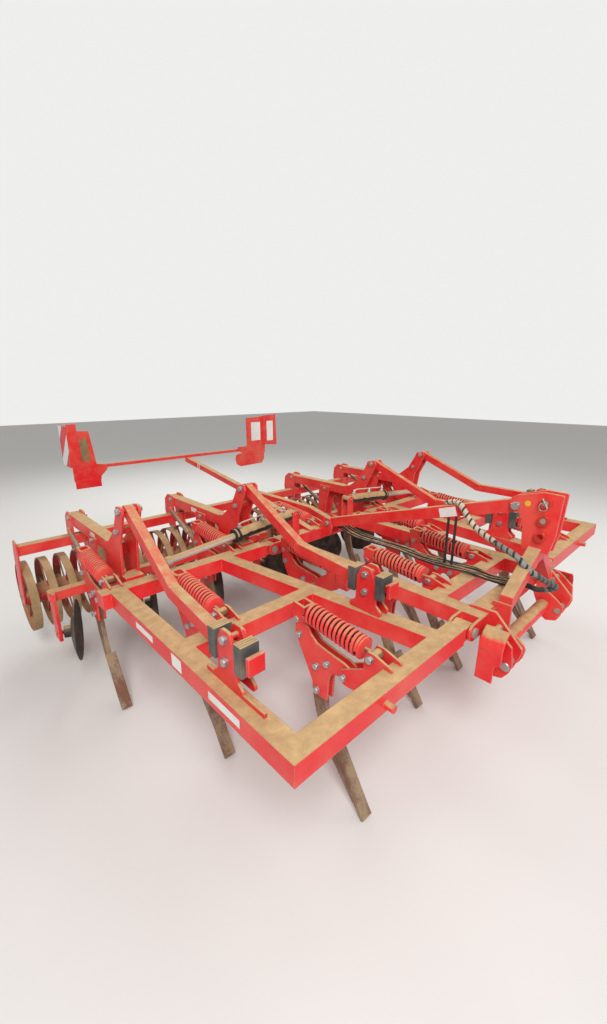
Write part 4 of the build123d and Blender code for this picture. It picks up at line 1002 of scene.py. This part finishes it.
class SUBSOILER_OT_boards(Operator):
    """Panes in the light boards' windows and the striped face of the board that is turned fore and aft"""

    bl_idname = "subsoiler.boards"
    bl_label = "Light boards"

    def execute(self, context):
        settings = context.scene.subsoiler
        heaps = {True: Heap(), False: Heap()}
        for x0, x1, z0, z1, y, pale in PANES:
            corners = placed(settings, ((x0, y, z0), (x1, y, z0), (x1, y, z1), (x0, y, z1)))
            heaps[pale].add(*slab(corners, PANE_THICK))
        heaps[True].piece("board_panes", "centre", "plate_white", "board_paint")
        heaps[False].piece("board_pane_brown", "centre", "pane_brown", "dusty_cylinder")
        stripes = Heap()
        stripes.add(*slab(placed(settings, STRIPED_FACE), DECAL_THICK))
        stripes.piece("board_stripes", "centre", "stripes", "board_paint")
        return {"FINISHED"}


class SUBSOILER_OT_cylinders(Operator):
    """Gland rings, ports with their nuts, and the pipe of each fold cylinder"""

    bl_idname = "subsoiler.cylinders"
    bl_label = "Fold cylinders"

    def execute(self, context):
        settings = context.scene.subsoiler
        nut, nut_faces = hexagon(settings.bolt)
        port, port_faces = lathe(PORT, 20)
        for side, name in ((RIGHT, "right"), (LEFT, "left")):
            base, eye = placed(settings, CYLINDER) * (side, 1.0, 1.0)
            run = (eye - base) / np.linalg.norm(eye - base)
            up = np.array((0.0, 0.0, 1.0)) - run * run[2]
            up /= np.linalg.norm(up)
            body = "fold_barrel_" + name
            rings = Heap()
            for far, wide in GLANDS:
                ring = (
                    (0.0, BARREL), (0.0, wide), (0.002, wide + 0.002), (0.008, wide + 0.002), (0.010, wide),
                    (0.010, BARREL))
                points, faces = lathe(ring, 40, closed=True)
                rings.add(turned(points, run) + base + run * far, faces)
            rings.piece("gland_rings_" + name, body, "hose_rubber")
            fittings = Heap()
            for far in PORTS:
                foot = base + run * far + up * PORT_FOOT
                fittings.add(turned(nut * 0.9, up) + foot, nut_faces)
                fittings.add(turned(port, up) + foot, port_faces)
            fittings.piece("cylinder_fittings_" + name, body, "zinc_steel", "zinc_steel")
            pipe = Heap()
            route, _ = even_path(smooth_path([base + run * far + up * high for far, high in PIPE]), 0.006)
            pipe.add(*tube(route, settings.hose.pipe, 12))
            pipe.piece("cylinder_pipe_" + name, body, "hose_wrap")
        return {"FINISHED"}


class SUBSOILER_OT_struts(Operator):
    """Dull grey sleeves over the disc beams' adjusting struts"""

    bl_idname = "subsoiler.struts"
    bl_label = "Disc struts"

    def execute(self, context):
        settings = context.scene.subsoiler
        top, foot = placed(settings, STRUT)
        run = foot - top
        points, faces = lathe(np.array(SLEEVE) * (np.linalg.norm(run), 1.0), 24)
        points = turned(points, run) + top
        for side, name in WINGS.items():
            sleeves = Heap()
            for x in STRUT_X:
                sleeves.add(points + (side * x, 0.0, 0.0), faces)
            sleeves.piece("strut_sleeves_" + name, name, "strut_grey")
        return {"FINISHED"}


class SUBSOILER_PT_finish(Panel):
    """Lists the subsoiler's steps and sizes"""

    bl_idname = "SUBSOILER_PT_finish"
    bl_label = "Subsoiler"
    bl_space_type = "VIEW_3D"
    bl_region_type = "UI"
    bl_category = "Subsoiler"

    def draw(self, context):
        layout = self.layout
        for step in STEPS:
            layout.operator(step.bl_idname)
        settings = context.scene.subsoiler
        for name in settings.__annotations__:
            group = getattr(settings, name)
            box = layout.box()
            for item in group.__annotations__:
                box.prop(group, item)


STEPS = (
    SUBSOILER_OT_stage,
    SUBSOILER_OT_paint,
    SUBSOILER_OT_springs,
    SUBSOILER_OT_bolts,
    SUBSOILER_OT_mast,
    SUBSOILER_OT_hoses,
    SUBSOILER_OT_decals,
    SUBSOILER_OT_boards,
    SUBSOILER_OT_cylinders,
    SUBSOILER_OT_struts,
)

GROUPS = (FrameSizes, SpringSizes, BoltSizes, HoseSizes, PaintColours, CameraPlace, Settings)


def register():
    """Adds the settings, steps and panel."""
    for group in GROUPS:
        bpy.utils.register_class(group)
    for step in STEPS:
        bpy.utils.register_class(step)
    bpy.utils.register_class(SUBSOILER_PT_finish)
    bpy.types.Scene.subsoiler = PointerProperty(type=Settings)


def unregister():
    """Takes them away again."""
    del bpy.types.Scene.subsoiler
    bpy.utils.unregister_class(SUBSOILER_PT_finish)
    for step in reversed(STEPS):
        bpy.utils.unregister_class(step)
    for group in reversed(GROUPS):
        bpy.utils.unregister_class(group)


def main():
    """Runs every step in order."""
    register()
    for step in STEPS:
        area, name = step.bl_idname.split(".")
        getattr(getattr(bpy.ops, area), name)()


if __name__ == "__main__":
    main()
